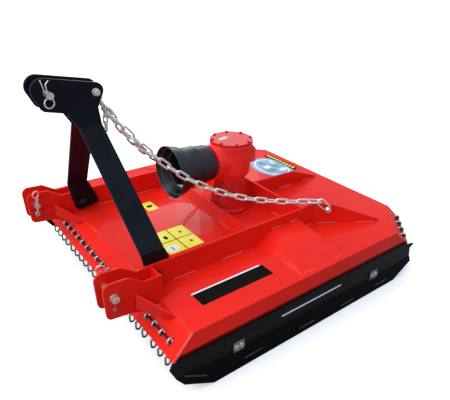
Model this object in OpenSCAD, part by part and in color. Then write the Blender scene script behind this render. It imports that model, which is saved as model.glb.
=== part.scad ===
// Rotary cutter for a tractor's three point linkage: flat deck on two skids,
// chain guards front and rear, bevel gearbox, swinging blades and a tilting mast.
// Millimetres. X is the machine's left, the hitch looks towards -Y, Z is up.

/* [Deck] */
// Width over the side walls
deck_w = 1350; // [1320:5:1380]
// Length of the flat deck between the front and rear creases
deck_l = 1338; // [1320:2:1360]
// Height of the deck's top face above the ground
deck_z = 290; // [285:1:295]
// Thickness of deck, wall and flap sheet
sheet_t = 5; // [4:0.5:6]
// Horizontal run of the sloping flaps
flap_run = 82; // [78:1:86]
// Drop of the side walls and sloping flaps below the deck
flap_drop = 92; // [88:1:96]
// Leg of the cut rear corners
corner_cut = 198; // [190:1:205]

/* [Ribs] */
// Thickness of ribs and lug plates
rib_t = 10; // [8:0.5:10]
// Height of the ribs above the deck
rib_h = 103; // [100:1:106]
// Distance from the cross plate back to the bend where each rib turns outwards
bend_gap = 92; // [85:1:100]
// Length of the tapering tail behind the bend
rib_tail_l = 328; // [318:1:332]
// Angle of the tail to the rib
rib_tail_a = 32; // [30:0.5:34]
// Distance of the cross plate behind the rotor's axis
cross_gap = 126; // [120:1:132]
// Height of the sloping front beam above the deck
beam_h = 43; // [38:1:48]
// Height of the side ramps where they meet the ribs
ramp_h = 57; // [50:1:62]

/* [Hitch] */
// Spacing of the two lower hitch points, middle to middle
hitch_w = 825; // [824:0.5:826]
// Clear gap between the two plates of each lug
lug_gap = 63; // [60:0.5:66]
// Diameter of the lower hitch pins
lower_pin_d = 28; // [27.8:0.1:28.2]
// Height of the lower hitch pins above the ground
lower_pin_z = 380; // [376:1:384]
// Height of the top link pin above the lower pins
mast_h = 610; // [605:1:615]
// Diameter of the top link pin
top_pin_d = 25; // [24.8:0.1:25.2]
// Distance between the two top link plates
top_gap = 60; // [58:1:62]
// Thickness of the mast plates
mast_t = 10; // [9:0.5:10]

/* [Gearbox] */
// Radius of the gearbox casing under its cap
case_r = 104; // [98:1:108]
// Height of the cap's top face
cap_z = 647; // [640:1:652]
// Height of the input shaft above the ground
input_z = 554; // [548:1:558]
// Radius of the shield's front mouth
shield_r = 121; // [116:1:123]

/* [Rotor] */
// Gap between the blade tips and the outside of the side walls
tip_gap = 75; // [65:1:95]
// Length of a blade from its bolt to its tip
blade_l = 200; // [190:1:210]
// Height of the blade's underside
blade_z = 70; // [66:1:74]

/* [Skids] */
// Width of the skid's sole
sole_w = 60; // [50:1:70]
// Thickness of the skid plate
skid_t = 10; // [8:0.5:10]

/* [Hidden] */
$fn = 48;

hw = deck_w / 2;
skirt_z = deck_z - flap_drop;
y_front = -228;
y_rear = deck_l + flap_run;
y0 = -(y_front + y_rear) / 2;
seat = 0.3;
over = 1;
// slope of the flaps seen from the side
flap_a = atan2(flap_drop, flap_run);
flap_len = sqrt(flap_run * flap_run + flap_drop * flap_drop);
under_z = deck_z - sheet_t;
rotor_y = deck_l / 2;
cut_r = hw - tip_gap;
blade_bolt_r = cut_r - blade_l;
rib_top = deck_z + rib_h;
cross_y = rotor_y + cross_gap;
rib_bend_y = cross_y + bend_gap;

// lower hitch
rib_x = hitch_w / 2 - lug_gap / 2 - rib_t / 2;
lug_x = hitch_w / 2 + lug_gap / 2 + rib_t / 2;
lower_pin_y = -178;
lock_z = lower_pin_z - 50;
lock_d = 16;

// mast
top_pin_z = lower_pin_z + mast_h;
top_pin_y = -178;
stay_y = 0;
stay_z = top_pin_z - 19;
stay_bolt_d = 16;
foot_y = 35;
foot_z = deck_z + 53;
foot_face = rib_x - rib_t / 2;
foot_bolt_d = 20;

module frame() translate([0, y0, 0]) children();
// turns a profile drawn as (y, z) into a plate standing across X
module side_plate(x, t) translate([x - t / 2, 0, 0]) rotate([90, 0, 90]) linear_extrude(t) children();
module both() { children(); mirror([1, 0, 0]) children(); }
module x_rod(x1, x2, y, z, d) translate([x1, y, z]) rotate([0, 90, 0]) cylinder(h = x2 - x1, d = d);

// closed body of the deck with every face moved in by i
module deck_body(i, z_low) {
  k = i * flap_len / flap_drop;
  g = flap_run / flap_drop;
  low = deck_z - z_low;
  big = deck_l;
  d_top = (hw + deck_l - corner_cut) / sqrt(2);
  intersection() {
    translate([-hw + i, -big / 2, z_low]) cube([2 * (hw - i), 2 * big, low - i]);
    side_plate(0, 2 * deck_w) polygon([[k - low * g, z_low], [k, deck_z],
      [deck_l - k, deck_z], [deck_l - k + low * g, z_low]]);
    corner_prism()
      polygon([[-big, z_low], [-big, deck_z], [d_top - k, deck_z], [d_top - k + low * g, z_low]]);
    mirror([1, 0, 0]) corner_prism()
      polygon([[-big, z_low], [-big, deck_z], [d_top - k, deck_z], [d_top - k + low * g, z_low]]);
  }
}
module corner_prism() rotate([90, 0, 45]) linear_extrude(4 * deck_l, center = true) children();

// rows of guard chains: middle of the crease x, y, turn, number of chains, pitch
row_x = 0; row_y = 1; row_turn = 2; row_n = 3; row_pitch = 4;
cut_shift = 21;
cut_mid_x = hw - corner_cut / 2 - cut_shift;
cut_mid_y = deck_l - corner_cut / 2 + cut_shift;
outer_row_x = (lug_x + rib_t / 2 + hw - 69) / 2;
rows = [
  [0, 0, 0, 15, 54],
  [outer_row_x, 0, 0, 4, 54],
  [-outer_row_x, 0, 0, 4, 54],
  [cut_mid_x, cut_mid_y, 135, 4, 60],
  [-cut_mid_x, cut_mid_y, 225, 4, 60],
  [0, deck_l, 180, 14, 64]
];
slot_l = 34;
slot_w = 12;
// distance of the slots below the middle of the flap
slot_drop = 15;
guard_rod_d = 8;
link_w = 30;
link_wire = 8;
link_l = 52;
link_out = guard_rod_d + 2 * seat + link_wire;
// half the height of a square wire that crosses a link lying at the flap's slope
cross_half = link_wire / 2 * (sin(flap_a) + cos(flap_a));
// depth of the second link's top wire under the flap, and that wire's place
hang_in = link_l - link_out - link_wire - seat - cross_half;
slot_y = -flap_run / 2 - slot_drop * cos(flap_a);
slot_z = deck_z - flap_drop / 2 - slot_drop * sin(flap_a);
hang_y = slot_y + hang_in * sin(flap_a);
hang_z = slot_z - hang_in * cos(flap_a) + link_wire / 2 - link_l / 2;

module at_rows() for (r = rows) translate([r[row_x], r[row_y], 0]) rotate([0, 0, r[row_turn]]) {
  $n = r[row_n];
  $pitch = r[row_pitch];
  children();
}
// local frame at a slot: x along the crease, z out of the sheet
module on_flap() translate([0, slot_y, slot_z]) rotate([flap_a, 0, 0]) children();
module each_chain() for (i = [0 : $n - 1]) translate([(i - ($n - 1) / 2) * $pitch, 0, 0]) children();

module deck_shell() color("red") frame() difference() {
  deck_body(0, skirt_z);
  deck_body(sheet_t, skirt_z - 10);
  at_rows() each_chain() on_flap() cube([slot_w, slot_l, 6 * sheet_t], center = true);
  translate([0, rotor_y, under_z - over]) cylinder(h = sheet_t + 2 * over, r = 62);
}

skirt_t = 10;
skirt_x = hw - sheet_t - 3 - skirt_t / 2;
skirt_low = 60;
// places of the skirt's front, low edge and rear corner
skirt_y = [20, 90, deck_l - 218, deck_l - 158];
skid_bolt_at = [[190, 122], [214, 122], [deck_l - 343, 112], [deck_l - 319, 112]];
skid_bolt_d = 12;
module side_skirts() color("red") frame() both() difference() {
  side_plate(skirt_x, skirt_t) polygon([[skirt_y[0], under_z], [skirt_y[0], skirt_low + 90],
    [skirt_y[1], skirt_low], [skirt_y[2], skirt_low], [skirt_y[3], skirt_low + 50],
    [skirt_y[3], skirt_z + 20], [deck_l - corner_cut - 10, under_z]]);
  for (b = skid_bolt_at) x_rod(skirt_x - skirt_t, skirt_x + skirt_t, b[0], b[1], skid_bolt_d + 0.6);
}

// outline of a lug in (y, z): round nose, then the neck that runs into the rib and down the flap
lug_root_y = -118;
module lug_profile() translate([0, deck_z]) {
  hull() {
    translate([-184, 116]) circle(30);
    translate([-186, 20]) circle(23);
    polygon([[lug_root_y, 142], [lug_root_y, -10], [lug_root_y - 1, 0]]);
  }
  polygon([[lug_root_y, 142], [-56, rib_h - 1], [0, rib_h], [0, 0], [-flap_run / 3, -flap_drop / 3],
    [-40, -34], [lug_root_y, -10]]);
}

tail_c = cos(rib_tail_a);
tail_s = sin(rib_tail_a);
tail_y = rib_bend_y + rib_tail_l * tail_c;
// place beside the tail plate: out from its inner face, along from the bend, height
function on_tail(out, along, z) = [foot_face + out * tail_c + along * tail_s,
  rib_bend_y - out * tail_s + along * tail_c, z];
anchor_z = rib_top - 22;
anchor_at = 62;
anchor_d = 16;
bend_out = rib_t * tan(rib_tail_a / 2);
module rib_plan() polygon([[foot_face, -250], [foot_face + rib_t, -250],
  [foot_face + rib_t, rib_bend_y - bend_out], on_tail(rib_t, rib_tail_l, 0) * [[1, 0], [0, 1], [0, 0]],
  on_tail(0, rib_tail_l, 0) * [[1, 0], [0, 1], [0, 0]], [foot_face, rib_bend_y]]);
module at_anchor(out) translate(on_tail(out, anchor_at, anchor_z)) rotate([0, 0, -rib_tail_a])
  rotate([0, 90, 0]) children();

module long_ribs() color("red") frame() both() difference() {
  intersection() {
    linear_extrude(2 * rib_top) rib_plan();
    side_plate(rib_x, deck_w) union() {
      lug_profile();
      polygon([[0, deck_z], [0, rib_top], [rib_bend_y, rib_top], [rib_bend_y + 80, rib_top - 9],
        [tail_y + rib_t, deck_z + 6], [tail_y + rib_t, deck_z]]);
    }
  }
  x_rod(rib_x - rib_t, rib_x + rib_t, lower_pin_y, lower_pin_z, lower_pin_d);
  x_rod(rib_x - rib_t, rib_x + rib_t, lower_pin_y, lock_z, lock_d + 0.6);
  x_rod(rib_x - rib_t, rib_x + rib_t, foot_y, foot_z, foot_bolt_d + 0.6);
  at_anchor(-over) cylinder(h = rib_t + 2 * over, d = anchor_d + 0.6);
}

// gusset beside a lug plate, from the plate back to the crease
gusset_t = 8;
gusset_a = 40;
module gusset() rotate([90, 0, gusset_a]) linear_extrude(gusset_t)
  polygon([[0, 5], [0, 68], [146, 0], [118, -20]]);

module lug_plates() color("red") frame() both() {
  difference() {
    union() {
      side_plate(lug_x, rib_t) union() {
        translate([0, deck_z]) square([14, rib_h]);
        lug_profile();
      }
      x_rod(lug_x, ring_face, lower_pin_y, lower_pin_z, lower_pin_d + 12);
    }
    x_rod(lug_x - rib_t, ring_face + over, lower_pin_y, lower_pin_z, lower_pin_d);
    x_rod(lug_x - rib_t, lug_x + rib_t, lower_pin_y, lock_z, lock_d + 0.6);
  }
  translate([rib_x + rib_t / 2, 4, deck_z]) cube([lug_x - rib_x - rib_t, 10, rib_h - 6]);
  translate([lug_x + rib_t / 2, -94, deck_z]) gusset();
  translate([rib_x - rib_t / 2, -94, deck_z]) mirror([1, 0, 0]) gusset();
}

// places where the spine behind the cross plate starts to fall and ends
cross_t = 10;
spine_y = [deck_l - 226, deck_l - 38];
module cross_plates() color("red") frame() {
  translate([-foot_face, cross_y, deck_z]) cube([2 * foot_face, cross_t, rib_h]);
  side_plate(0, cross_t) polygon([[cross_y + 1, deck_z], [cross_y + 1, rib_top - 18],
    [cross_y + cross_t, rib_top - 18],
    [spine_y[0], rib_top - 26], [spine_y[1], deck_z + 4], [spine_y[1], deck_z]]);
}

beam_y1 = rotor_y - 152;
beam_y2 = rotor_y - 108;
module front_beam() color("red") frame()
  side_plate(0, 2 * foot_face) polygon([[beam_y1, deck_z], [beam_y2 - 4, deck_z + beam_h],
    [beam_y2, deck_z + beam_h], [beam_y2, deck_z]]);

ramp_y = [rotor_y - 137, rotor_y - 53, rotor_y + 106, rotor_y + 135];
module side_ramps() color("red") frame() both() intersection() {
  side_plate((rib_x + hw) / 2, hw) polygon([[ramp_y[0], deck_z], [ramp_y[1], deck_z + ramp_h],
    [ramp_y[2], deck_z + ramp_h], [ramp_y[3], deck_z]]);
  translate([0, ramp_y[3] + 10, 0]) rotate([90, 0, 0]) linear_extrude(400)
    polygon([[rib_x + rib_t / 2, deck_z], [rib_x + rib_t / 2, deck_z + ramp_h], [hw, deck_z]]);
}

skid_x = skirt_x + skirt_t / 2 + skid_t / 2;
// places round the skid from the front nose down, along the sole and up to the rear tab
skid_at = [[-94, 166], [-72, 118], [-40, 74], [90, 0], [deck_l - 146, 0], [deck_l - 24, 70],
  [deck_l - 44, 109], [deck_l - 52, 155], [deck_l - 24, 171], [deck_l - 84, 183]];
module skid_side() polygon(concat(skid_at, [[deck_l - 90, skirt_z - seat], [-80, skirt_z - seat]]));
module skids() color("black") frame() both() {
  difference() {
    side_plate(skid_x, skid_t) skid_side();
    for (b = skid_bolt_at) x_rod(skid_x - skid_t, skid_x + skid_t, b[0], b[1], skid_bolt_d + 0.6);
  }
  intersection() {
    side_plate(skid_x - skid_t / 2 - sole_w / 2, sole_w) difference() {
      skid_side();
      offset(delta = -8) skid_side();
      translate([-200, 150]) square([2000, 200]);
    }
    translate([0, -200, 0]) cube([hw, deck_l + 260, 58]);
  }
}

module skid_bolts() color("silver") frame() both() for (b = skid_bolt_at) {
  x_rod(skirt_x - skirt_t / 2 - 10, skid_x + skid_t / 2 + 1, b[0], b[1], skid_bolt_d);
  translate([skid_x + skid_t / 2, b[0], b[1]]) rotate([0, 90, 0]) cylinder(h = 8, r = 11, $fn = 6);
}

// pins are full sized between the plates and at their free ends, and a little thinner in the plates
pin_step = 0.6;
pin_free = 16;
lug_ring_t = 5;
ring_face = lug_x + rib_t / 2 + lug_ring_t;
module lower_pins() color("silver") frame() both() {
  x_rod(rib_x - rib_t / 2 - 22, ring_face, lower_pin_y, lower_pin_z, lower_pin_d - pin_step);
  x_rod(rib_x + rib_t / 2 + 1, lug_x - rib_t / 2 - 1, lower_pin_y, lower_pin_z, lower_pin_d);
  x_rod(ring_face, ring_face + pin_free, lower_pin_y, lower_pin_z, lower_pin_d);
}

module lock_bolts() color("silver") frame() both() {
  x_rod(rib_x - rib_t / 2 - 8, lug_x + rib_t / 2 + 8, lower_pin_y, lock_z, lock_d);
}

// open oval link lying in local xz, long side along z
module link(l, w, wire) rotate([90, 0, 0]) linear_extrude(wire, center = true) difference() {
  square([w, l], center = true);
  square([w - 2 * wire, l - 2 * wire], center = true);
}

module guard_rods() color("silver") frame() at_rows() on_flap()
  translate([-($n - 1) * $pitch / 2 - 6, 0, guard_rod_d / 2 + seat]) rotate([0, 90, 0])
    cylinder(h = ($n - 1) * $pitch + 12, d = guard_rod_d, $fn = 16);

module guard_chains() color("silver") frame() at_rows() each_chain() {
  on_flap() translate([0, 0, -link_l / 2 + link_out]) rotate([0, 0, 90]) link(link_l, link_w, link_wire);
  translate([0, hang_y, hang_z]) {
    link(link_l, link_w, link_wire);
    translate([0, 0, 2 * link_wire + seat - link_l]) rotate([0, 0, 90]) link(link_l, link_w, link_wire);
  }
}

// mast: boot shaped head, leaning arm and foot of one side
head_x = top_gap / 2 + mast_t / 2;
// head in (y, z) from the top pin's height: round toe, heel about the chain bolt, ankle down to the bend
module head_profile() translate([0, top_pin_z]) {
  hull() {
    translate([-188, 10]) circle(42);
    translate([-184, -44]) circle(22);
    translate([stay_y, stay_z - top_pin_z + 4]) circle(31);
    translate([-116, -74]) circle(8);
  }
  polygon([[-117, -82], [-108, -76], [-20, 0], [22, -36], [5, -76], [12, -138], [-77, -148]]);
}
module foot_profile() hull() {
  translate([28, 328]) circle(29);
  polygon([[-24, arm_low_z + 2], [72, arm_low_z + 2], [79, arm_low_z - 10], [121, 323], [108, 310]]);
}
arm_top_z = 847;
arm_low_z = 442;
arm_w = 92;
foot_x = foot_face - seat - mast_t / 2;
arm_dx = foot_x - head_x;
arm_dz = arm_top_z - arm_low_z;
arm_a = atan2(arm_dx, arm_dz);
arm_len = sqrt(arm_dx * arm_dx + arm_dz * arm_dz);
module mast_half() {
  difference() {
    side_plate(head_x, mast_t) head_profile();
    x_rod(head_x - mast_t, head_x + mast_t, top_pin_y, top_pin_z, top_pin_d);
    x_rod(head_x - mast_t, head_x + mast_t, stay_y, stay_z, stay_bolt_d + 0.6);
  }
  translate([head_x, 0, arm_top_z]) rotate([0, 180 - arm_a, 0]) rotate([0, 0, 90]) rotate([90, 0, 0])
    linear_extrude(mast_t, center = true)
      polygon([[-78, -3], [12, -3], [72, arm_len + 2], [-24, arm_len + 2]]);
  difference() {
    side_plate(foot_x, mast_t) foot_profile();
    x_rod(foot_x - mast_t, foot_x + mast_t, foot_y, foot_z, foot_bolt_d + 0.1);
  }
}
module mast_plates() color("black") frame() both() mast_half();

top_free = 44;
head_out = head_x + mast_t / 2;
module top_pin() color("silver") frame() {
  x_rod(-head_out - 1, head_out + 1, top_pin_y, top_pin_z, top_pin_d - pin_step);
  x_rod(-top_gap / 2 + 1, top_gap / 2 - 1, top_pin_y, top_pin_z, top_pin_d);
  for (s = [-head_out - 1 - top_free, head_out + 1])
    x_rod(s, s + top_free, top_pin_y, top_pin_z, top_pin_d);
}
module chain_bolt() color("silver") frame() {
  x_rod(-head_x - mast_t / 2 - 14, head_x + mast_t / 2 + 14, stay_y, stay_z, stay_bolt_d);
}
module mast_bolts() color("silver") frame() both() {
  x_rod(foot_x - mast_t / 2 - 10, rib_x + rib_t / 2 + 16, foot_y, foot_z, foot_bolt_d);
}

// stay chains: links of one pitch along a sagging curve, from the mast bolt over the rib to the tail plate
stay_n = 24;
stay_sag = 190;
stay_skew = 0.33;
// the curve is walked faster where it lies flatter, so all links get nearly one length
stay_walk = 0.65;
// shares of the span where the chain starts and ends turning outwards from between the head plates
stay_turn = [0.03, 0.13];
stay_wire = 8;
stay_w = 28;
stay_play = 1;
// the last link has more, since it turns down sharply behind the rib
end_play = 6;
end_w = 38;
stay_bolt = [top_gap / 4, stay_y, stay_z];
stay_edge = on_tail(rib_t + 6, 22, rib_top + 16);
stay_pin = on_tail(rib_t + 6, anchor_at, anchor_z);
function unit(v) = v / norm(v);
function sag_at(t) = 4 * stay_sag * t * (1 - t) * (1 + stay_skew * (1 - 2 * t));
stay_mid = (stay_turn[0] + stay_turn[1]) / 2;
function turned(t) = t < stay_turn[1] ? pow(max(0, t - stay_turn[0]), 2) / (stay_turn[1] - stay_turn[0]) / 2
  : t - stay_mid;
function out_at(t) = turned(t) / (1 - stay_mid);
function on_span(a, b, t) = [a[0] + (b[0] - a[0]) * out_at(t), a[1] + (b[1] - a[1]) * t,
  a[2] + (b[2] - a[2]) * t - sag_at(t)];
function walk(u) = u * (stay_walk + (1 - stay_walk) * u);
// the end links reach round their bolts
stay_lean = unit(on_span(stay_bolt, stay_edge, walk(1 / stay_n)) - stay_bolt);
stay_start = stay_bolt - stay_lean * (stay_bolt_d / 2 + 0.2);
stay_foot = stay_pin + unit(stay_pin - stay_edge) * ((anchor_d - end_play) / 2 + 0.7);
function stay_at(u) = on_span(stay_start, stay_edge, walk(u));
module span_link(a, b, turn, w, play) {
  d = b - a;
  flat = sqrt(d[0] * d[0] + d[1] * d[1]);
  translate((a + b) / 2) rotate([0, 0, atan2(d[1], d[0])]) rotate([0, atan2(flat, d[2]), 0])
    rotate([0, 0, turn]) link(norm(d) + 2 * stay_wire + play, w, stay_wire);
}
module stay_chains() color("silver") frame() both() {
  for (i = [0 : stay_n - 1]) span_link(stay_at(i / stay_n), stay_at((i + 1) / stay_n), i % 2 * 90,
    i == 0 || i == stay_n - 1 ? end_w : stay_w, stay_play);
  span_link(stay_edge, stay_foot, stay_n % 2 * 90, end_w, end_play);
}

module chain_anchors() color("silver") frame() both() {
  at_anchor(-12) cylinder(h = 12 + rib_t + 24, d = anchor_d);
  at_anchor(rib_t + 18) cylinder(h = 6, d = 26);
}

spindle_r = 30;
neck_r1 = case_r - 6;
neck_r2 = case_r - 38;
neck_top = 450;
flange_r = 106;
flange_t = 14;
module at_rotor() frame() translate([0, rotor_y, 0]) children();
module gearbox_neck() color("red") at_rotor() difference() {
  union() {
    translate([0, 0, deck_z]) cylinder(h = flange_t, r = flange_r);
    translate([0, 0, deck_z + flange_t])
      cylinder(h = neck_top - deck_z - flange_t, r1 = neck_r1, r2 = neck_r2);
  }
  translate([0, 0, deck_z - over]) cylinder(h = neck_top - deck_z + 2 * over, r = spindle_r + 0.05);
}

nose_l = 50;
nose_r = 60;
house_l = 20;
house_r = 80;
bearing_r = 22;
module gearbox_case() color("red") at_rotor() difference() {
  union() {
    translate([0, 0, neck_top]) cylinder(h = 40, r1 = case_r - 32, r2 = case_r - 8);
    translate([0, 0, neck_top + 40]) cylinder(h = 130, r1 = case_r - 8, r2 = case_r - 4);
    translate([0, 0, neck_top + 170]) cylinder(h = cap_z - 12 - neck_top - 170, r = case_r);
    translate([0, 0, input_z]) rotate([90, 0, 0]) cylinder(h = case_r + nose_l, r = nose_r);
    translate([0, 0, input_z]) rotate([90, 0, 0]) cylinder(h = case_r + house_l, r = house_r);
    rotate([0, 0, 45]) translate([case_r - 5, 0, 540]) cylinder(h = 70, r = 22);
  }
  translate([0, 0, neck_top - over]) cylinder(h = 40, r = 40);
  translate([0, 0, input_z]) rotate([90, 0, 0]) cylinder(h = case_r + nose_l + over, r = bearing_r + 0.05);
}

module gearbox_cap() color("red") at_rotor() {
  translate([0, 0, cap_z - 12]) cylinder(h = 12, r = case_r);
  for (i = [0 : 7]) rotate([0, 0, i * 45 + 22.5]) translate([case_r - 10, 0, cap_z])
    cylinder(h = 6, r = 8, $fn = 6);
}

shield_y1 = rotor_y - 350;
shield_y2 = rotor_y - case_r - nose_l + 15;
module pto_shield() color("black") frame() translate([0, 0, input_z]) rotate([-90, 0, 0]) difference() {
  union() {
    translate([0, 0, shield_y1]) cylinder(h = 60, r1 = shield_r, r2 = shield_r - 14);
    translate([0, 0, shield_y1 + 60]) cylinder(h = shield_y2 - shield_y1 - 60, r1 = shield_r - 22, r2 = 84);
  }
  translate([0, 0, shield_y1 - over]) cylinder(h = 61, r1 = shield_r - 4, r2 = shield_r - 26);
  translate([0, 0, shield_y1 + 50]) cylinder(h = shield_y2 - shield_y1 - 50 - 6, r1 = shield_r - 26, r2 = 80);
  translate([0, 0, shield_y2 - 20]) cylinder(h = 40, r = nose_r + seat);
}

// input shaft: thin splined end in front, thick journal in the nose
spline_d = 34.9;
spline_y1 = rotor_y - 264;
spline_y2 = rotor_y - case_r - nose_l - 3;
module input_shaft() color("silver") frame() translate([0, 0, input_z]) rotate([-90, 0, 0]) {
  translate([0, 0, spline_y1]) cylinder(h = spline_y2 - spline_y1, d = spline_d);
  translate([0, 0, spline_y2]) cylinder(h = rotor_y - spline_y2 - 40, r = bearing_r);
}

hub_z = 128;
hub_t = 14;
spindle_top = 472;
module rotor_spindle() color("silver") at_rotor() {
  translate([0, 0, hub_z + hub_t]) cylinder(h = spindle_top - hub_z - hub_t, r = spindle_r);
  translate([0, 0, hub_z + hub_t]) cylinder(h = 40, r = 55);
}
module blade_bar() color("silver") at_rotor() difference() {
  union() {
    translate([0, 0, hub_z]) cylinder(h = hub_t, r = 70);
    translate([-blade_bolt_r - 45, -50, hub_z]) cube([2 * blade_bolt_r + 90, 100, hub_t]);
    for (s = [-1, 1]) translate([s * blade_bolt_r, 0, blade_z - 12])
      cylinder(h = hub_z - blade_z + 20, r = 15);
    for (s = [-1, 1]) translate([s * blade_bolt_r, 0, blade_z - 14]) cylinder(h = 12, r = 26);
  }
}
module blade(s) at_rotor() translate([s * blade_bolt_r, 0, blade_z]) rotate([0, 0, s < 0 ? 180 : 0])
  difference() {
    union() {
      translate([0, -40, 0]) cube([cut_r - blade_bolt_r, 80, 10]);
      cylinder(h = 10, r = 40);
    }
    translate([0, 0, -over]) cylinder(h = 12, r = 15.3);
  }
module blade_1() color("silver") blade(1);
module blade_2() color("silver") blade(-1);

deck_shell();
side_skirts();
long_ribs();
lug_plates();
cross_plates();
front_beam();
side_ramps();
skids();
skid_bolts();
lower_pins();
lock_bolts();
guard_rods();
guard_chains();
mast_plates();
top_pin();
chain_bolt();
mast_bolts();
stay_chains();
chain_anchors();
gearbox_neck();
gearbox_case();
gearbox_cap();
pto_shield();
input_shaft();
rotor_spindle();
blade_bar();
blade_1();
blade_2();
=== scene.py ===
"""Rotary cutter for a tractor's three point hitch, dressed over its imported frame."""
import logging
import math
from dataclasses import dataclass, field
from enum import Enum
from typing import Iterator, Optional, Sequence

import bpy
from mathutils import Matrix, Vector


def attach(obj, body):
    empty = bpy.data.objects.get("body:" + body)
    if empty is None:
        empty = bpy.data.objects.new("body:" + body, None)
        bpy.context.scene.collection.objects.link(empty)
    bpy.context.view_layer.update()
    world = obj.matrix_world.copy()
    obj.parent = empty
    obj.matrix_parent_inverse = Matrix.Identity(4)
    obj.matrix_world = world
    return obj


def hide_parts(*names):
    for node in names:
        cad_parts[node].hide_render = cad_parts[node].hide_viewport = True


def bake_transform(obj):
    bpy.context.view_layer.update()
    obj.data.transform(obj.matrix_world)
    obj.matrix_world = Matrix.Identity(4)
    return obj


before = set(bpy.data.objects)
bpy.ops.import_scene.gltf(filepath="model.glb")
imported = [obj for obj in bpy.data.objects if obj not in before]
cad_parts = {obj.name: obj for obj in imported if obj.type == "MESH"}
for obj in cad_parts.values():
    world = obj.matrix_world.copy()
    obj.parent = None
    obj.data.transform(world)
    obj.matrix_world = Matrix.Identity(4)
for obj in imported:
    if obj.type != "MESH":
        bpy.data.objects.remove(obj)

log = logging.getLogger("rotary_cutter")

# The design's own places are millimetres with the front crease of the deck at y = 0
MM = 0.001
CREASE_SHIFT = 596.0

Point = Sequence[float]


def at(x: float, y: float, z: float) -> Vector:
    """Turn a design place in millimetres into the frame's metres.

    Args:
        x: distance to the machine's left.
        y: distance behind the deck's front crease.
        z: height above the ground.

    Returns:
        The place in the row frame.
    """
    return Vector((x, y - CREASE_SHIFT, z)) * MM


class Body(Enum):
    """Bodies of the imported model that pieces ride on."""

    DECK = "deck"
    MAST = "mast"
    INPUT = "input"
    ROTOR = "rotor"
    BLADE_LEFT = "blade_left"
    BLADE_RIGHT = "blade_right"


class Slot(Enum):
    """Material slots named in the record."""

    RED_PAINT = "red_paint"
    RED_CASTING = "red_casting"
    BLACK_PAINT = "black_paint"
    BLACK_PLASTIC = "black_plastic"
    ZINC = "zinc"
    BARE_STEEL = "bare_steel"


class Side(Enum):
    """The two sides of the machine, as the sign of X."""

    LEFT = 1
    RIGHT = -1


class Sheet:
    """Lays out one node tree with short calls."""

    def __init__(self, tree: bpy.types.NodeTree) -> None:
        """Keep the tree that the nodes go into."""
        self.tree = tree

    def add(self, kind: str, inputs: Optional[dict] = None, **settings: object) -> bpy.types.Node:
        """Add a node and fill in its sockets.

        Args:
            kind: Blender's name of the node type.
            inputs: values or sockets by input name or number.
            settings: attributes set on the node itself.

        Returns:
            The new node.
        """
        node = self.tree.nodes.new(kind)
        for name, value in settings.items():
            setattr(node, name, value)
        for key, value in (inputs or {}).items():
            if isinstance(value, bpy.types.NodeSocket):
                self.tree.links.new(value, node.inputs[key])
            else:
                node.inputs[key].default_value = value
        return node

    def math(self, operation: str, a: object, b: object = 0.5) -> bpy.types.NodeSocket:
        """Add a Math node and return its result."""
        return self.add("ShaderNodeMath", {0: a, 1: b}, operation=operation).outputs[0]

    def span(self, value: bpy.types.NodeSocket, low: float, high: float, to_low: float = 0.0,
             to_high: float = 1.0) -> bpy.types.NodeSocket:
        """Remap a value from low..high to another span, clamped, and return it."""
        node = self.add("ShaderNodeMapRange", {"Value": value, "From Min": low, "From Max": high,
                                               "To Min": to_low, "To Max": to_high})
        return node.outputs["Result"]

    def mix(self, factor: object, a: object, b: object) -> bpy.types.NodeSocket:
        """Mix two colours by a factor and return the result."""
        node = self.add("ShaderNodeMix", data_type="RGBA")
        for key, value in ((0, factor), (6, a), (7, b)):
            if isinstance(value, bpy.types.NodeSocket):
                self.tree.links.new(value, node.inputs[key])
            else:
                node.inputs[key].default_value = value
        return node.outputs[2]


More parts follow.
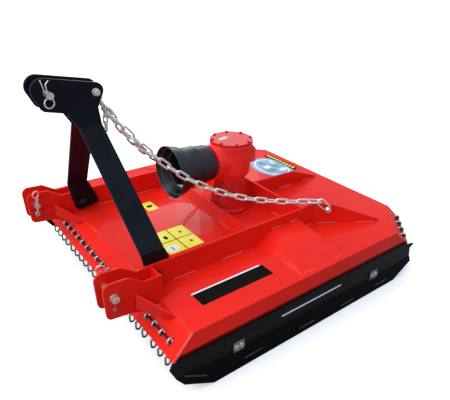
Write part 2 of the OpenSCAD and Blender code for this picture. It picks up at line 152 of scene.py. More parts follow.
class ShaderGroups:
    """Effects that several finishes share, each built once."""

    def __init__(self) -> None:
        """Build every group."""
        self.grain = self._grain()
        self.dust = self._dust()
        self.rub = self._rub()

    @staticmethod
    def _start(name: str, inputs: dict[str, float], outputs: Sequence[str]) -> tuple[bpy.types.NodeTree, Sheet,
                                                                                      bpy.types.Node, bpy.types.Node]:
        """Open a group with float sockets.

        Args:
            name: name of the group.
            inputs: default of each input by its name.
            outputs: names of the outputs.

        Returns:
            The tree, its sheet and its input and output nodes.
        """
        tree = bpy.data.node_groups.new(name, "ShaderNodeTree")
        for key, value in inputs.items():
            tree.interface.new_socket(key, in_out="INPUT", socket_type="NodeSocketFloat").default_value = value
        for key in outputs:
            tree.interface.new_socket(key, in_out="OUTPUT", socket_type="NodeSocketFloat")
        sheet = Sheet(tree)
        return tree, sheet, sheet.add("NodeGroupInput"), sheet.add("NodeGroupOutput")

    def _grain(self) -> bpy.types.NodeTree:
        """Large clouds, fine specks and a skin height, all in object space."""
        tree, sheet, given, out = self._start(
            "coat grain", {"Cloud Scale": 4.0, "Skin Scale": 260.0}, ("Cloud", "Speck", "Height"))
        place = sheet.add("ShaderNodeTexCoord").outputs["Object"]
        cloud = sheet.add("ShaderNodeTexNoise", {"Vector": place, "Scale": given.outputs[0], "Detail": 5.0,
                                                 "Roughness": 0.62, "Distortion": 0.4})
        skin = sheet.add("ShaderNodeTexNoise", {"Vector": place, "Scale": given.outputs[1], "Detail": 2.0})
        speck = sheet.add("ShaderNodeTexVoronoi", {"Vector": place, "Scale": given.outputs[1]})
        tree.links.new(sheet.span(cloud.outputs[0], 0.32, 0.68), out.inputs[0])
        tree.links.new(sheet.span(speck.outputs["Distance"], 0.05, 0.32, 1.0, 0.0), out.inputs[1])
        tree.links.new(skin.outputs[0], out.inputs[2])
        return tree

    def _dust(self) -> bpy.types.NodeTree:
        """Thin dust that settles on faces that look up."""
        tree, sheet, given, out = self._start("settled dust", {"Amount": 0.2, "Scale": 7.0}, ("Mask",))
        place = sheet.add("ShaderNodeTexCoord").outputs["Object"]
        up = sheet.add("ShaderNodeSeparateXYZ", {0: sheet.add("ShaderNodeNewGeometry").outputs["Normal"]})
        cloud = sheet.add("ShaderNodeTexNoise", {"Vector": place, "Scale": given.outputs[1], "Detail": 8.0,
                                                 "Roughness": 0.7})
        lying = sheet.math("MULTIPLY", sheet.span(up.outputs[2], 0.35, 0.98), sheet.span(cloud.outputs[0], 0.4, 0.75))
        tree.links.new(sheet.math("MULTIPLY", lying, given.outputs[0]), out.inputs[0])
        return tree

    def _rub(self) -> bpy.types.NodeTree:
        """Broken lines of rubbing along one direction of the piece."""
        tree, sheet, given, out = self._start("rub marks", {"Scale": 30.0, "Amount": 0.3}, ("Mask",))
        place = sheet.add("ShaderNodeTexCoord").outputs["Object"]
        drawn = sheet.add("ShaderNodeMapping", {"Vector": place, "Scale": (1.0, 0.06, 1.0)})
        lines = sheet.add("ShaderNodeTexNoise", {"Vector": drawn.outputs[0], "Scale": given.outputs[0],
                                                 "Detail": 6.0, "Roughness": 0.7})
        patch = sheet.add("ShaderNodeTexNoise", {"Vector": place, "Scale": 9.0, "Detail": 3.0})
        both = sheet.math("MULTIPLY", sheet.span(lines.outputs[0], 0.56, 0.7), sheet.span(patch.outputs[0], 0.45, 0.65))
        tree.links.new(sheet.math("MULTIPLY", both, given.outputs[1]), out.inputs[0])
        return tree


@dataclass(frozen=True)
class Finish:
    """One painted, plated or moulded surface."""

    name: str
    colour: tuple[float, float, float]
    shade: tuple[float, float, float]
    roughness: tuple[float, float] = (0.25, 0.4)
    metallic: float = 0.0
    coat: float = 0.0
    coat_roughness: float = 0.05
    specular: float = 0.5
    cloud_scale: float = 4.0
    skin_scale: float = 260.0
    skin_height: float = 0.05
    dust: float = 0.0
    rub: float = 0.0
    # Colour of rub marks, and of the painted edge highlight and wear.
    rub_and_highlight_colour: tuple[float, float, float] = (0.35, 0.35, 0.36)
    edge_highlight_and_worn_paint: float = 0.0

    def make(self, groups: ShaderGroups) -> bpy.types.Material:
        """Build the material from the shared groups.

        Args:
            groups: the shared effects.

        Returns:
            The finished material.
        """
        material = bpy.data.materials.new(self.name)
        material.use_nodes = True
        sheet = Sheet(material.node_tree)
        shader = material.node_tree.nodes["Principled BSDF"]
        shader.inputs["Metallic"].default_value = self.metallic
        shader.inputs["Coat Weight"].default_value = self.coat
        shader.inputs["Coat Roughness"].default_value = self.coat_roughness
        shader.inputs["Specular IOR Level"].default_value = self.specular
        grain = sheet.add("ShaderNodeGroup", {}, node_tree=groups.grain)
        grain.inputs["Cloud Scale"].default_value = self.cloud_scale
        grain.inputs["Skin Scale"].default_value = self.skin_scale
        colour = sheet.mix(grain.outputs["Cloud"], (*self.colour, 1.0), (*self.shade, 1.0))
        rough = sheet.span(grain.outputs["Cloud"], 0.0, 1.0, self.roughness[0], self.roughness[1])
        # Paler sharp edges, found with the Bevel normal: a painted highlight along the edges, together with wear.
        if self.edge_highlight_and_worn_paint > 0:
            colour = self._edge_highlight_and_worn_paint(sheet, colour, grain)
        if self.rub > 0:
            rub = sheet.add("ShaderNodeGroup", {"Amount": self.rub}, node_tree=groups.rub).outputs[0]
            colour = sheet.mix(rub, colour, (*self.rub_and_highlight_colour, 1.0))
        if self.dust > 0:
            dust = sheet.add("ShaderNodeGroup", {"Amount": self.dust}, node_tree=groups.dust).outputs[0]
            colour = sheet.mix(dust, colour, (0.42, 0.36, 0.31, 1.0))
            rough = sheet.math("ADD", rough, sheet.math("MULTIPLY", dust, 0.35))
        bump = sheet.add("ShaderNodeBump", {"Height": grain.outputs["Height"], "Strength": self.skin_height,
                                            "Distance": 0.002})
        for socket, source in (("Base Color", colour), ("Roughness", rough), ("Normal", bump.outputs[0])):
            sheet.tree.links.new(source, shader.inputs[socket])
        return material

    def _edge_highlight_and_worn_paint(self, sheet: Sheet, colour: bpy.types.NodeSocket, grain: bpy.types.Node) -> bpy.types.NodeSocket:
        """Lighten the paint along sharp edges, as a painted highlight together with edge wear.

        Args:
            sheet: the material's sheet.
            colour: the paint so far.
            grain: the grain group in this material.

        Returns:
            The colour with its edges lightened.
        """
        round_normal = sheet.add("ShaderNodeBevel", {"Radius": 0.003}, samples=4).outputs[0]
        flat_normal = sheet.add("ShaderNodeNewGeometry").outputs["Normal"]
        turn = sheet.add("ShaderNodeVectorMath", {0: round_normal, 1: flat_normal}, operation="DOT_PRODUCT")
        edge = sheet.span(turn.outputs["Value"], 0.93, 0.80)
        mask = sheet.math("MULTIPLY", edge, sheet.span(grain.outputs["Cloud"], 0.0, 0.8, 0.35, 1.0))
        return sheet.mix(sheet.math("MULTIPLY", mask, self.edge_highlight_and_worn_paint), colour, (*self.rub_and_highlight_colour, 1.0))


RED_PAINT = Finish("gloss red paint", (0.82, 0.017, 0.008), (0.75, 0.014, 0.007), roughness=(0.30, 0.40), coat=0.19,
                   coat_roughness=0.02, specular=0.06, cloud_scale=3.0, skin_scale=170.0, skin_height=0.03, dust=0.01)
# Dark reds for the bottom of the side walls: painted shade, and a darker painted shadow below it.
RED_WALL_PAINTED_SHADE = Finish("red wall edge with painted shade", (0.20, 0.004, 0.003), (0.15, 0.003, 0.002), roughness=(0.4, 0.5), specular=0.05,
                  cloud_scale=3.0, skin_scale=170.0, skin_height=0.03)
RED_WALL_PAINTED_SHADOW = Finish("red wall edge with painted shadow", (0.035, 0.001, 0.001), (0.02, 0.001, 0.001), roughness=(0.5, 0.6), specular=0.02,
                 cloud_scale=3.0, skin_scale=170.0, skin_height=0.03)
RED_CASTING = Finish("gloss red casting", (1.0, 0.034, 0.026), (0.88, 0.027, 0.021), roughness=(0.26, 0.38),
                     coat=0.30, coat_roughness=0.09, specular=0.08, cloud_scale=14.0, skin_scale=110.0,
                     skin_height=0.28, dust=0.01)
# A darker copy of the casting red for the neck and its ribs: painted shade under the gearbox case.
RED_NECK_PAINTED_SHADE = Finish("red casting with painted shade", (0.66, 0.017, 0.014), (0.56, 0.014, 0.012), roughness=(0.26, 0.38),
                  coat=0.30, coat_roughness=0.09, specular=0.08, cloud_scale=14.0, skin_scale=110.0, skin_height=0.30)
# A darker copy of the casting red for the cap: painted shade that holds back the light its top catches.
RED_CAP_PAINTED_SHADE = Finish("red cap with painted shade", (0.66, 0.014, 0.010), (0.58, 0.012, 0.009), roughness=(0.30, 0.40), coat=0.22,
                 coat_roughness=0.08, specular=0.06, cloud_scale=9.0, skin_scale=160.0, skin_height=0.08)
# Paler pink than the deck paint: the paint on the welds, lightened as a painted highlight along the beads and corner
# seams.
RED_WELD_AND_HIGHLIGHT = Finish("weld paint with painted highlight", (0.84, 0.085, 0.070), (0.70, 0.045, 0.038), roughness=(0.28, 0.5), coat=0.3,
                  coat_roughness=0.15, specular=0.3, cloud_scale=60.0, skin_scale=300.0, skin_height=0.5)
# The blue in the black paint's colours is a painted reflection of the sky; its paler edges are a painted highlight,
# together with wear.
BLACK_PAINT = Finish("satin black paint", (0.0026, 0.0034, 0.0056), (0.0052, 0.0074, 0.0160), roughness=(0.32, 0.46),
                     coat=0.03, coat_roughness=0.25, specular=0.12, cloud_scale=5.0, skin_scale=220.0,
                     skin_height=0.06, edge_highlight_and_worn_paint=0.25, rub_and_highlight_colour=(0.05, 0.055, 0.07))
# The skid's paler edges are a painted highlight, together with wear.
SKID_BLACK = Finish("skid black paint", (0.0018, 0.0020, 0.0024), (0.0034, 0.0038, 0.0052), roughness=(0.30, 0.44),
                    coat=0.03, coat_roughness=0.2, specular=0.10, cloud_scale=5.0, skin_scale=220.0,
                    skin_height=0.06, edge_highlight_and_worn_paint=0.35, rub_and_highlight_colour=(0.07, 0.07, 0.08))
# A darker copy of the skid black for the skid's lower band: painted shade for a band that turns inward, which is not
# modelled.
SHOE_BLACK_PAINTED_SHADE = Finish("skid black with painted shade", (0.0010, 0.0010, 0.0012), (0.0018, 0.0019, 0.0022), roughness=(0.4, 0.55),
                    specular=0.06, cloud_scale=5.0, skin_scale=220.0, skin_height=0.06)
# Light grey weld beads on the skid's lower band.
SHOE_WELD = Finish("light grey skid weld", (0.07, 0.07, 0.08), (0.016, 0.016, 0.018), roughness=(0.25, 0.45), specular=0.4,
                   cloud_scale=70.0, skin_scale=300.0, skin_height=0.3)
# The blue in the black plastic's colours is a painted reflection of the sky.
BLACK_PLASTIC = Finish("moulded black plastic", (0.0030, 0.0042, 0.0075), (0.0055, 0.0080, 0.0140),
                       roughness=(0.24, 0.36), specular=0.5, cloud_scale=10.0, skin_scale=400.0, skin_height=0.12)
ZINC = Finish("bright zinc plate", (0.92, 0.95, 0.88), (0.62, 0.65, 0.60), roughness=(0.18, 0.36), metallic=0.88,
              cloud_scale=90.0, skin_scale=500.0, skin_height=0.10)
YELLOW_ZINC = Finish("yellow passivated zinc", (0.86, 0.74, 0.40), (0.62, 0.62, 0.56), roughness=(0.2, 0.36),
                     metallic=0.95, cloud_scale=70.0, skin_scale=500.0, skin_height=0.10)
# Light grey for the two ridges inside the shield: a painted highlight along them.
PLASTIC_EDGE_HIGHLIGHT = Finish("plastic edge with painted highlight", (0.17, 0.175, 0.18), (0.11, 0.115, 0.12), roughness=(0.22, 0.35),
                      specular=0.4, cloud_scale=10.0, skin_scale=400.0, skin_height=0.05)
# A darker copy of the chain steel; on the hanging guard links it is painted shade under the flaps.
HANGING_STEEL = Finish("darker chain steel", (0.30, 0.30, 0.30), (0.10, 0.10, 0.10), roughness=(0.3, 0.55),
                       metallic=0.8, cloud_scale=60.0, skin_scale=500.0, skin_height=0.15)
GUARD_STEEL = Finish("guard chain steel", (0.78, 0.78, 0.77), (0.26, 0.26, 0.26), roughness=(0.20, 0.44),
                     metallic=0.9, cloud_scale=60.0, skin_scale=500.0, skin_height=0.15)
DARK_STEEL = Finish("dark forged steel", (0.030, 0.029, 0.030), (0.014, 0.014, 0.014), roughness=(0.35, 0.55),
                    metallic=0.5, specular=0.3, cloud_scale=30.0, skin_scale=300.0, skin_height=0.2)
BARE_STEEL = Finish("machined steel", (0.42, 0.41, 0.40), (0.26, 0.25, 0.24), roughness=(0.28, 0.5), metallic=1.0,
                    cloud_scale=25.0, skin_scale=600.0, skin_height=0.08, rub=0.4)
BLADE_STEEL = Finish("rolled blade steel", (0.22, 0.21, 0.20), (0.10, 0.095, 0.09), roughness=(0.38, 0.6),
                     metallic=0.9, cloud_scale=12.0, skin_scale=300.0, skin_height=0.15, rub=0.5)
STICKER_BLACK = Finish("black film", (0.004, 0.004, 0.004), (0.006, 0.006, 0.006), roughness=(0.45, 0.55),
                       specular=0.04, cloud_scale=20.0, skin_scale=90.0, skin_height=0.04)
STICKER_WHITE = Finish("white film", (0.84, 0.84, 0.84), (0.76, 0.76, 0.76), roughness=(0.3, 0.4), specular=0.3,
                       cloud_scale=20.0, skin_scale=90.0, skin_height=0.04)
STICKER_YELLOW = Finish("yellow film", (0.88, 0.80, 0.03), (0.82, 0.72, 0.04), roughness=(0.3, 0.4), specular=0.3,
                        cloud_scale=18.0, skin_scale=90.0, skin_height=0.04)
STICKER_BLUE = Finish("pale blue film", (0.13, 0.34, 0.54), (0.28, 0.48, 0.62), roughness=(0.3, 0.4), specular=0.3,
                      cloud_scale=26.0, skin_scale=90.0, skin_height=0.04)
STICKER_GREY = Finish("grey film", (0.16, 0.19, 0.24), (0.24, 0.27, 0.32), roughness=(0.3, 0.4), specular=0.3,
                      cloud_scale=40.0, skin_scale=90.0, skin_height=0.04)
STICKER_PALE = Finish("pale grey film", (0.44, 0.42, 0.42), (0.56, 0.54, 0.54), roughness=(0.3, 0.4), specular=0.3,
                      cloud_scale=40.0, skin_scale=90.0, skin_height=0.04)


class Paintshop:
    """Makes each material once and hands it out."""

    def __init__(self) -> None:
        """Build the shared groups and an empty rack."""
        self.groups = ShaderGroups()
        self.rack: dict[str, bpy.types.Material] = {}

    def coat(self, obj: bpy.types.Object, finish: Finish) -> None:
        """Cover all of a piece with one finish.

        Args:
            obj: the piece.
            finish: what it is covered with.
        """
        material = self.rack.get(finish.name)
        if material is None:
            material = self.rack[finish.name] = finish.make(self.groups)
        if not obj.data.materials:
            obj.data.materials.append(material)
        for slot in obj.material_slots:
            slot.material = material


class Bench:
    """Modelling steps done with Blender's own operators."""

    @staticmethod
    def clear() -> None:
        """Leave object mode's selection empty."""
        if bpy.context.object and bpy.context.object.mode != "OBJECT":
            bpy.ops.object.mode_set(mode="OBJECT")
        bpy.ops.object.select_all(action="DESELECT")

    @classmethod
    def pick(cls, *objects: bpy.types.Object) -> None:
        """Select these objects, the first one active."""
        cls.clear()
        for obj in objects:
            obj.select_set(True)
        bpy.context.view_layer.objects.active = objects[0]

    @classmethod
    def named(cls, name: str) -> bpy.types.Object:
        """Name the primitive that was just added and settle its place into its mesh."""
        obj = bpy.context.active_object
        obj.name = name
        obj.data.name = name
        cls.pick(obj)
        bpy.ops.object.transform_apply(location=True, rotation=True, scale=True)
        return obj

    @classmethod
    def modify(cls, obj: bpy.types.Object, kind: str, **settings: object) -> None:
        """Add a modifier, set it and apply it.

        Args:
            obj: the piece.
            kind: Blender's modifier type.
            settings: attributes of the modifier.
        """
        cls.pick(obj)
        modifier = obj.modifiers.new(kind.title(), kind)
        for name, value in settings.items():
            setattr(modifier, name, value)
        bpy.ops.object.modifier_apply(modifier=modifier.name)

    @classmethod
    def ease(cls, obj: bpy.types.Object, width: float, segments: int = 2, angle: float = 35.0) -> None:
        """Round a piece's edges and smooth what is left.

        Args:
            obj: the piece.
            width: width of the rounding in metres.
            segments: steps of the rounding.
            angle: least angle in degrees that counts as an edge.
        """
        cls.modify(obj, "BEVEL", width=width, segments=segments, limit_method="ANGLE",
                   angle_limit=math.radians(angle), harden_normals=False, miter_outer="MITER_ARC")
        cls.smooth(obj, angle)

    @classmethod
    def smooth(cls, obj: bpy.types.Object, angle: float = 35.0) -> None:
        """Shade smooth apart from edges sharper than the angle."""
        cls.pick(obj)
        bpy.ops.object.shade_smooth_by_angle(angle=math.radians(angle))

    @classmethod
    def outward(cls, obj: bpy.types.Object) -> None:
        """Merge doubles and turn every face outwards."""
        cls.pick(obj)
        bpy.ops.object.mode_set(mode="EDIT")
        bpy.ops.mesh.select_all(action="SELECT")
        bpy.ops.mesh.remove_doubles(threshold=1e-6)
        bpy.ops.mesh.normals_make_consistent(inside=False)
        bpy.ops.object.mode_set(mode="OBJECT")

    @classmethod
    def joined(cls, name: str, parts: Sequence[bpy.types.Object]) -> bpy.types.Object:
        """Join parts into one piece.

        Args:
            name: name of the piece.
            parts: what goes into it.

        Returns:
            The piece.
        """
        cls.pick(*parts)
        if len(parts) > 1:
            bpy.ops.object.join()
        piece = bpy.context.view_layer.objects.active
        piece.name = name
        piece.data.name = name
        return piece

    @classmethod
    def rod(cls, name: str, start: Vector, end: Vector, radius: float, sides: int = 24,
            ease: float = 0.001) -> bpy.types.Object:
        """Model a round bar with eased ends.

        Args:
            name: name of the piece.
            start: middle of one end.
            end: middle of the other end.
            radius: radius in metres.
            sides: faces round it.
            ease: rounding of the ends, or 0.

        Returns:
            The bar.
        """
        run = end - start
        turn = run.to_track_quat("Z", "Y").to_euler()
        cls.clear()
        bpy.ops.mesh.primitive_cylinder_add(vertices=sides, radius=radius, depth=run.length,
                                            location=(start + end) / 2, rotation=turn)
        bar = cls.named(name)
        if ease > 0:
            cls.ease(bar, ease, 2, 50.0)
        return bar

    @classmethod
    def turned(cls, name: str, profile: Sequence[tuple[float, float]], middle: Vector, steps: int) -> bpy.types.Object:
        """Turn a closed profile about an axis that runs along Y.

        Args:
            name: name of the piece.
            profile: places along the axis and radii, in metres, in order round the section.
            middle: a place on the axis, from which the first numbers are measured.
            steps: faces round the piece.

        Returns:
            The turned piece.
        """
        cls.clear()
        bpy.ops.mesh.primitive_circle_add(vertices=len(profile), radius=1.0, fill_type="NOTHING", location=(0, 0, 0))
        ring = cls.named(name)
        for vertex, (along, radius) in zip(ring.data.vertices, profile):
            vertex.co = Vector((0.0, along, radius))
        cls.modify(ring, "SCREW", axis="Y", angle=math.tau, steps=steps, render_steps=steps, use_merge_vertices=True,
                   merge_threshold=1e-6)
        ring.data.transform(Matrix.Translation(middle))
        cls.outward(ring)
        cls.smooth(ring, 40.0)
        return ring

    @classmethod
    def hoop(cls, name: str, centre: Vector, axis: Vector, radius: float, wire: float, sides: int = 28,
             round_sides: int = 8) -> bpy.types.Object:
        """Model a ring of round wire.

        Args:
            name: name of the piece.
            centre: middle of the ring.
            axis: direction through the ring.
            radius: radius of the wire's middle line.
            wire: radius of the wire.
            sides: steps round the ring.
            round_sides: steps round the wire.

        Returns:
            The ring.
        """
        cls.clear()
        bpy.ops.mesh.primitive_torus_add(location=centre, rotation=axis.to_track_quat("Z", "Y").to_euler(),
                                         major_radius=radius, minor_radius=wire, major_segments=sides,
                                         minor_segments=round_sides)
        ring = cls.named(name)
        cls.smooth(ring, 60.0)
        return ring

    @classmethod
    def washer(cls, name: str, face: Vector, axis: Vector, outer: float, inner: float,
               thick: float) -> bpy.types.Object:
        """Model a flat washer that lies on a face.

        Args:
            name: name of the piece.
            face: middle of the washer on the face it lies on.
            axis: direction away from that face.
            outer: outer radius.
            inner: radius of the hole.
            thick: thickness.

        Returns:
            The washer.
        """
        cls.clear()
        bpy.ops.mesh.primitive_circle_add(vertices=32, radius=outer, fill_type="NGON", location=(0, 0, 0))
        disc = bpy.context.active_object
        bpy.ops.object.mode_set(mode="EDIT")
        bpy.ops.mesh.select_all(action="SELECT")
        bpy.ops.mesh.inset(thickness=outer - inner)
        bpy.ops.mesh.delete(type="FACE")
        bpy.ops.mesh.select_all(action="SELECT")
        bpy.ops.mesh.extrude_region_move(TRANSFORM_OT_translate={"value": (0, 0, thick)})
        bpy.ops.object.mode_set(mode="OBJECT")
        disc.location = face
        disc.rotation_euler = axis.to_track_quat("Z", "Y").to_euler()
        ring = cls.named(name)
        cls.outward(ring)
        cls.ease(ring, thick * 0.2, 1, 50.0)
        return ring

    @classmethod
    def hex_head(cls, name: str, face: Vector, axis: Vector, flats: float, height: float, stub: float = 0.0,
                 washer: float = 0.0) -> bpy.types.Object:
        """Model a hexagon head or nut, with a washer and a thread end where asked.

        Args:
            name: name of the piece.
            face: middle of the face it sits on.
            axis: direction away from that face.
            flats: size across the flats.
            height: height of the hexagon.
            stub: length of thread that stands out of a nut.
            washer: radius of the washer under it, or 0.

        Returns:
            The fastener.
        """
        axis = axis.normalized()
        parts: list[bpy.types.Object] = []
        low = 0.0
        if washer > 0:
            low = 0.0025
            parts.append(cls.rod(name + "_washer", face, face + axis * low, washer, 28, 0.0004))
        hexagon = cls.rod(name, face + axis * low, face + axis * (low + height), flats / math.sqrt(3), 6, 0.0)
        cls.pick(hexagon)
        bpy.ops.object.mode_set(mode="EDIT")
        bpy.ops.mesh.select_all(action="DESELECT")
        bpy.ops.object.mode_set(mode="OBJECT")
        for face_of in hexagon.data.polygons:
            face_of.select = face_of.normal.dot(axis) > 0.9
        bpy.ops.object.mode_set(mode="EDIT")
        bpy.ops.mesh.inset(thickness=flats * 0.07)
        bpy.ops.transform.translate(value=axis * height * 0.12)
        bpy.ops.object.mode_set(mode="OBJECT")
        cls.ease(hexagon, flats * 0.03, 1, 25.0)
        parts.append(hexagon)
        if stub > 0:
            top = face + axis * (low + height)
            parts.append(cls.rod(name + "_thread", top, top + axis * stub, flats * 0.31, 20, 0.001))
        return cls.joined(name, parts[::-1])

    @classmethod
    def weld(cls, name: str, start: Vector, end: Vector, radius: float = 0.004) -> bpy.types.Object:
        """Model a short weld bead with the ripples of its passes.

        Args:
            name: name of the piece.
            start: one end of the seam.
            end: the other end.
            radius: radius of the bead.

        Returns:
            The bead.
        """
        run = end - start
        bead = cls.rod(name, start, end, radius, 8, 0.0)
        steps = max(4, int(run.length / 0.0035))
        cls.pick(bead)
        bpy.ops.object.mode_set(mode="EDIT")
        bpy.ops.mesh.select_all(action="DESELECT")
        bpy.ops.object.mode_set(mode="OBJECT")
        way = run.normalized()
        for edge in bead.data.edges:
            a, b = (bead.data.vertices[i].co for i in edge.vertices)
            edge.select = abs((b - a).normalized().dot(way)) > 0.9
        bpy.ops.object.mode_set(mode="EDIT")
        bpy.ops.mesh.select_mode(type="EDGE")
        bpy.ops.mesh.subdivide(number_cuts=steps)
        bpy.ops.object.mode_set(mode="OBJECT")
        for vertex in bead.data.vertices:
            along = (vertex.co - start).dot(way)
            middle = start + way * along
            taper = min(1.0, 0.45 + along / 0.008, 0.45 + (run.length - along) / 0.008)
            ripple = 1.0 + 0.10 * math.sin(along / 0.0105 * math.tau) + 0.05 * math.sin(along * 911.0)
            vertex.co = middle + (vertex.co - middle) * taper * ripple
        cls.smooth(bead, 75.0)
        return bead

    @classmethod
    def film(cls, name: str, outline: Sequence[Vector], lift: Vector, corner: float = 0.0) -> bpy.types.Object:
        """Model a thin sticker from its outline.

        Args:
            name: name of the piece.
            outline: its corners in order, as they lie on the surface.
            lift: its thickness and the side that it faces.
            corner: radius of its corners.

        Returns:
            The sticker.
        """
        cls.clear()
        bpy.ops.mesh.primitive_circle_add(vertices=len(outline), radius=0.01, fill_type="NGON", location=(0, 0, 0))
        sticker = cls.named(name)
        for vertex, corner_place in zip(sticker.data.vertices, outline):
            vertex.co = corner_place + lift * 0.05
        cls.pick(sticker)
        bpy.ops.object.mode_set(mode="EDIT")
        bpy.ops.mesh.select_all(action="SELECT")
        if corner > 0:
            bpy.ops.mesh.bevel(offset=corner, segments=4, affect="VERTICES")
            bpy.ops.mesh.select_all(action="SELECT")
        bpy.ops.mesh.extrude_region_move(TRANSFORM_OT_translate={"value": lift})
        bpy.ops.object.mode_set(mode="OBJECT")
        cls.outward(sticker)
        return sticker

    @classmethod
    def eased_copy(cls, node: str, width: float, angle: float = 25.0) -> bpy.types.Object:
        """Copy a node of the frame and round its sharp edges.

        Args:
            node: name of the CAD node.
            width: width of the rounding in metres.
            angle: least angle in degrees that counts as an edge.

        Returns:
            The copy, with its own mesh.
        """
        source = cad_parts[node]
        copy = source.copy()
        copy.data = source.data.copy()
        copy.parent = None
        copy.matrix_world = Matrix.Identity(4)
        for key in list(copy.keys()):
            del copy[key]
        bpy.context.scene.collection.objects.link(copy)
        copy.name = node + "_dressed"
        copy.data.name = copy.name
        copy.data.materials.clear()
        cls.pick(copy)
        bpy.ops.object.mode_set(mode="EDIT")
        bpy.ops.mesh.select_all(action="SELECT")
        bpy.ops.mesh.remove_doubles(threshold=2e-5)
        bpy.ops.mesh.dissolve_limited(angle_limit=math.radians(1.0), delimit=set())
        bpy.ops.object.mode_set(mode="OBJECT")
        if width > 0:
            cls.ease(copy, width, 2, angle)
        return copy


@dataclass
class Assembly:
    """A group of pieces that is built, dressed and reported together."""

    bench: Bench
    shop: Paintshop
    pieces: list[bpy.types.Object] = field(default_factory=list)

    def fit(self, obj: bpy.types.Object, body: Body, finish: Finish, slot: Slot,
            *replaced: str) -> bpy.types.Object:
        """Dress a piece, let it ride on its body and note it.

        Args:
            obj: the piece.
            body: the body that carries it.
            finish: its surface.
            slot: the record's slot that the finish comes from; not used.
            replaced: CAD nodes that it stands for.

        Returns:
            The piece.
        """
        self.shop.coat(obj, finish)
        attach(obj, body.value)
        if replaced:
            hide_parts(*replaced)
        self.pieces.append(obj)
        return obj

    def keep(self, node: str, finish: Finish) -> None:
        """Give a CAD node that stays in view its finish."""
        self.shop.coat(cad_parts[node], finish)

    def build(self) -> None:
        """Model the pieces of the assembly."""
        raise NotImplementedError

    def report(self) -> None:
        """Log each piece with its count of faces."""
        for piece in self.pieces:
            log.info("%s: %s, %d faces", type(self).__name__, piece.name, len(piece.data.polygons))


@dataclass(frozen=True)
class Seam:
    """A stitch weld between two design places, given in millimetres."""

    start: tuple[float, float, float]
    end: tuple[float, float, float]
    mirrored: bool = True

    def runs(self) -> Iterator[tuple[Vector, Vector]]:
        """Yield the seam's ends on each side that has it."""
        for side in Side if self.mirrored else (Side.LEFT,):
            yield (at(self.start[0] * side.value, *self.start[1:]), at(self.end[0] * side.value, *self.end[1:]))


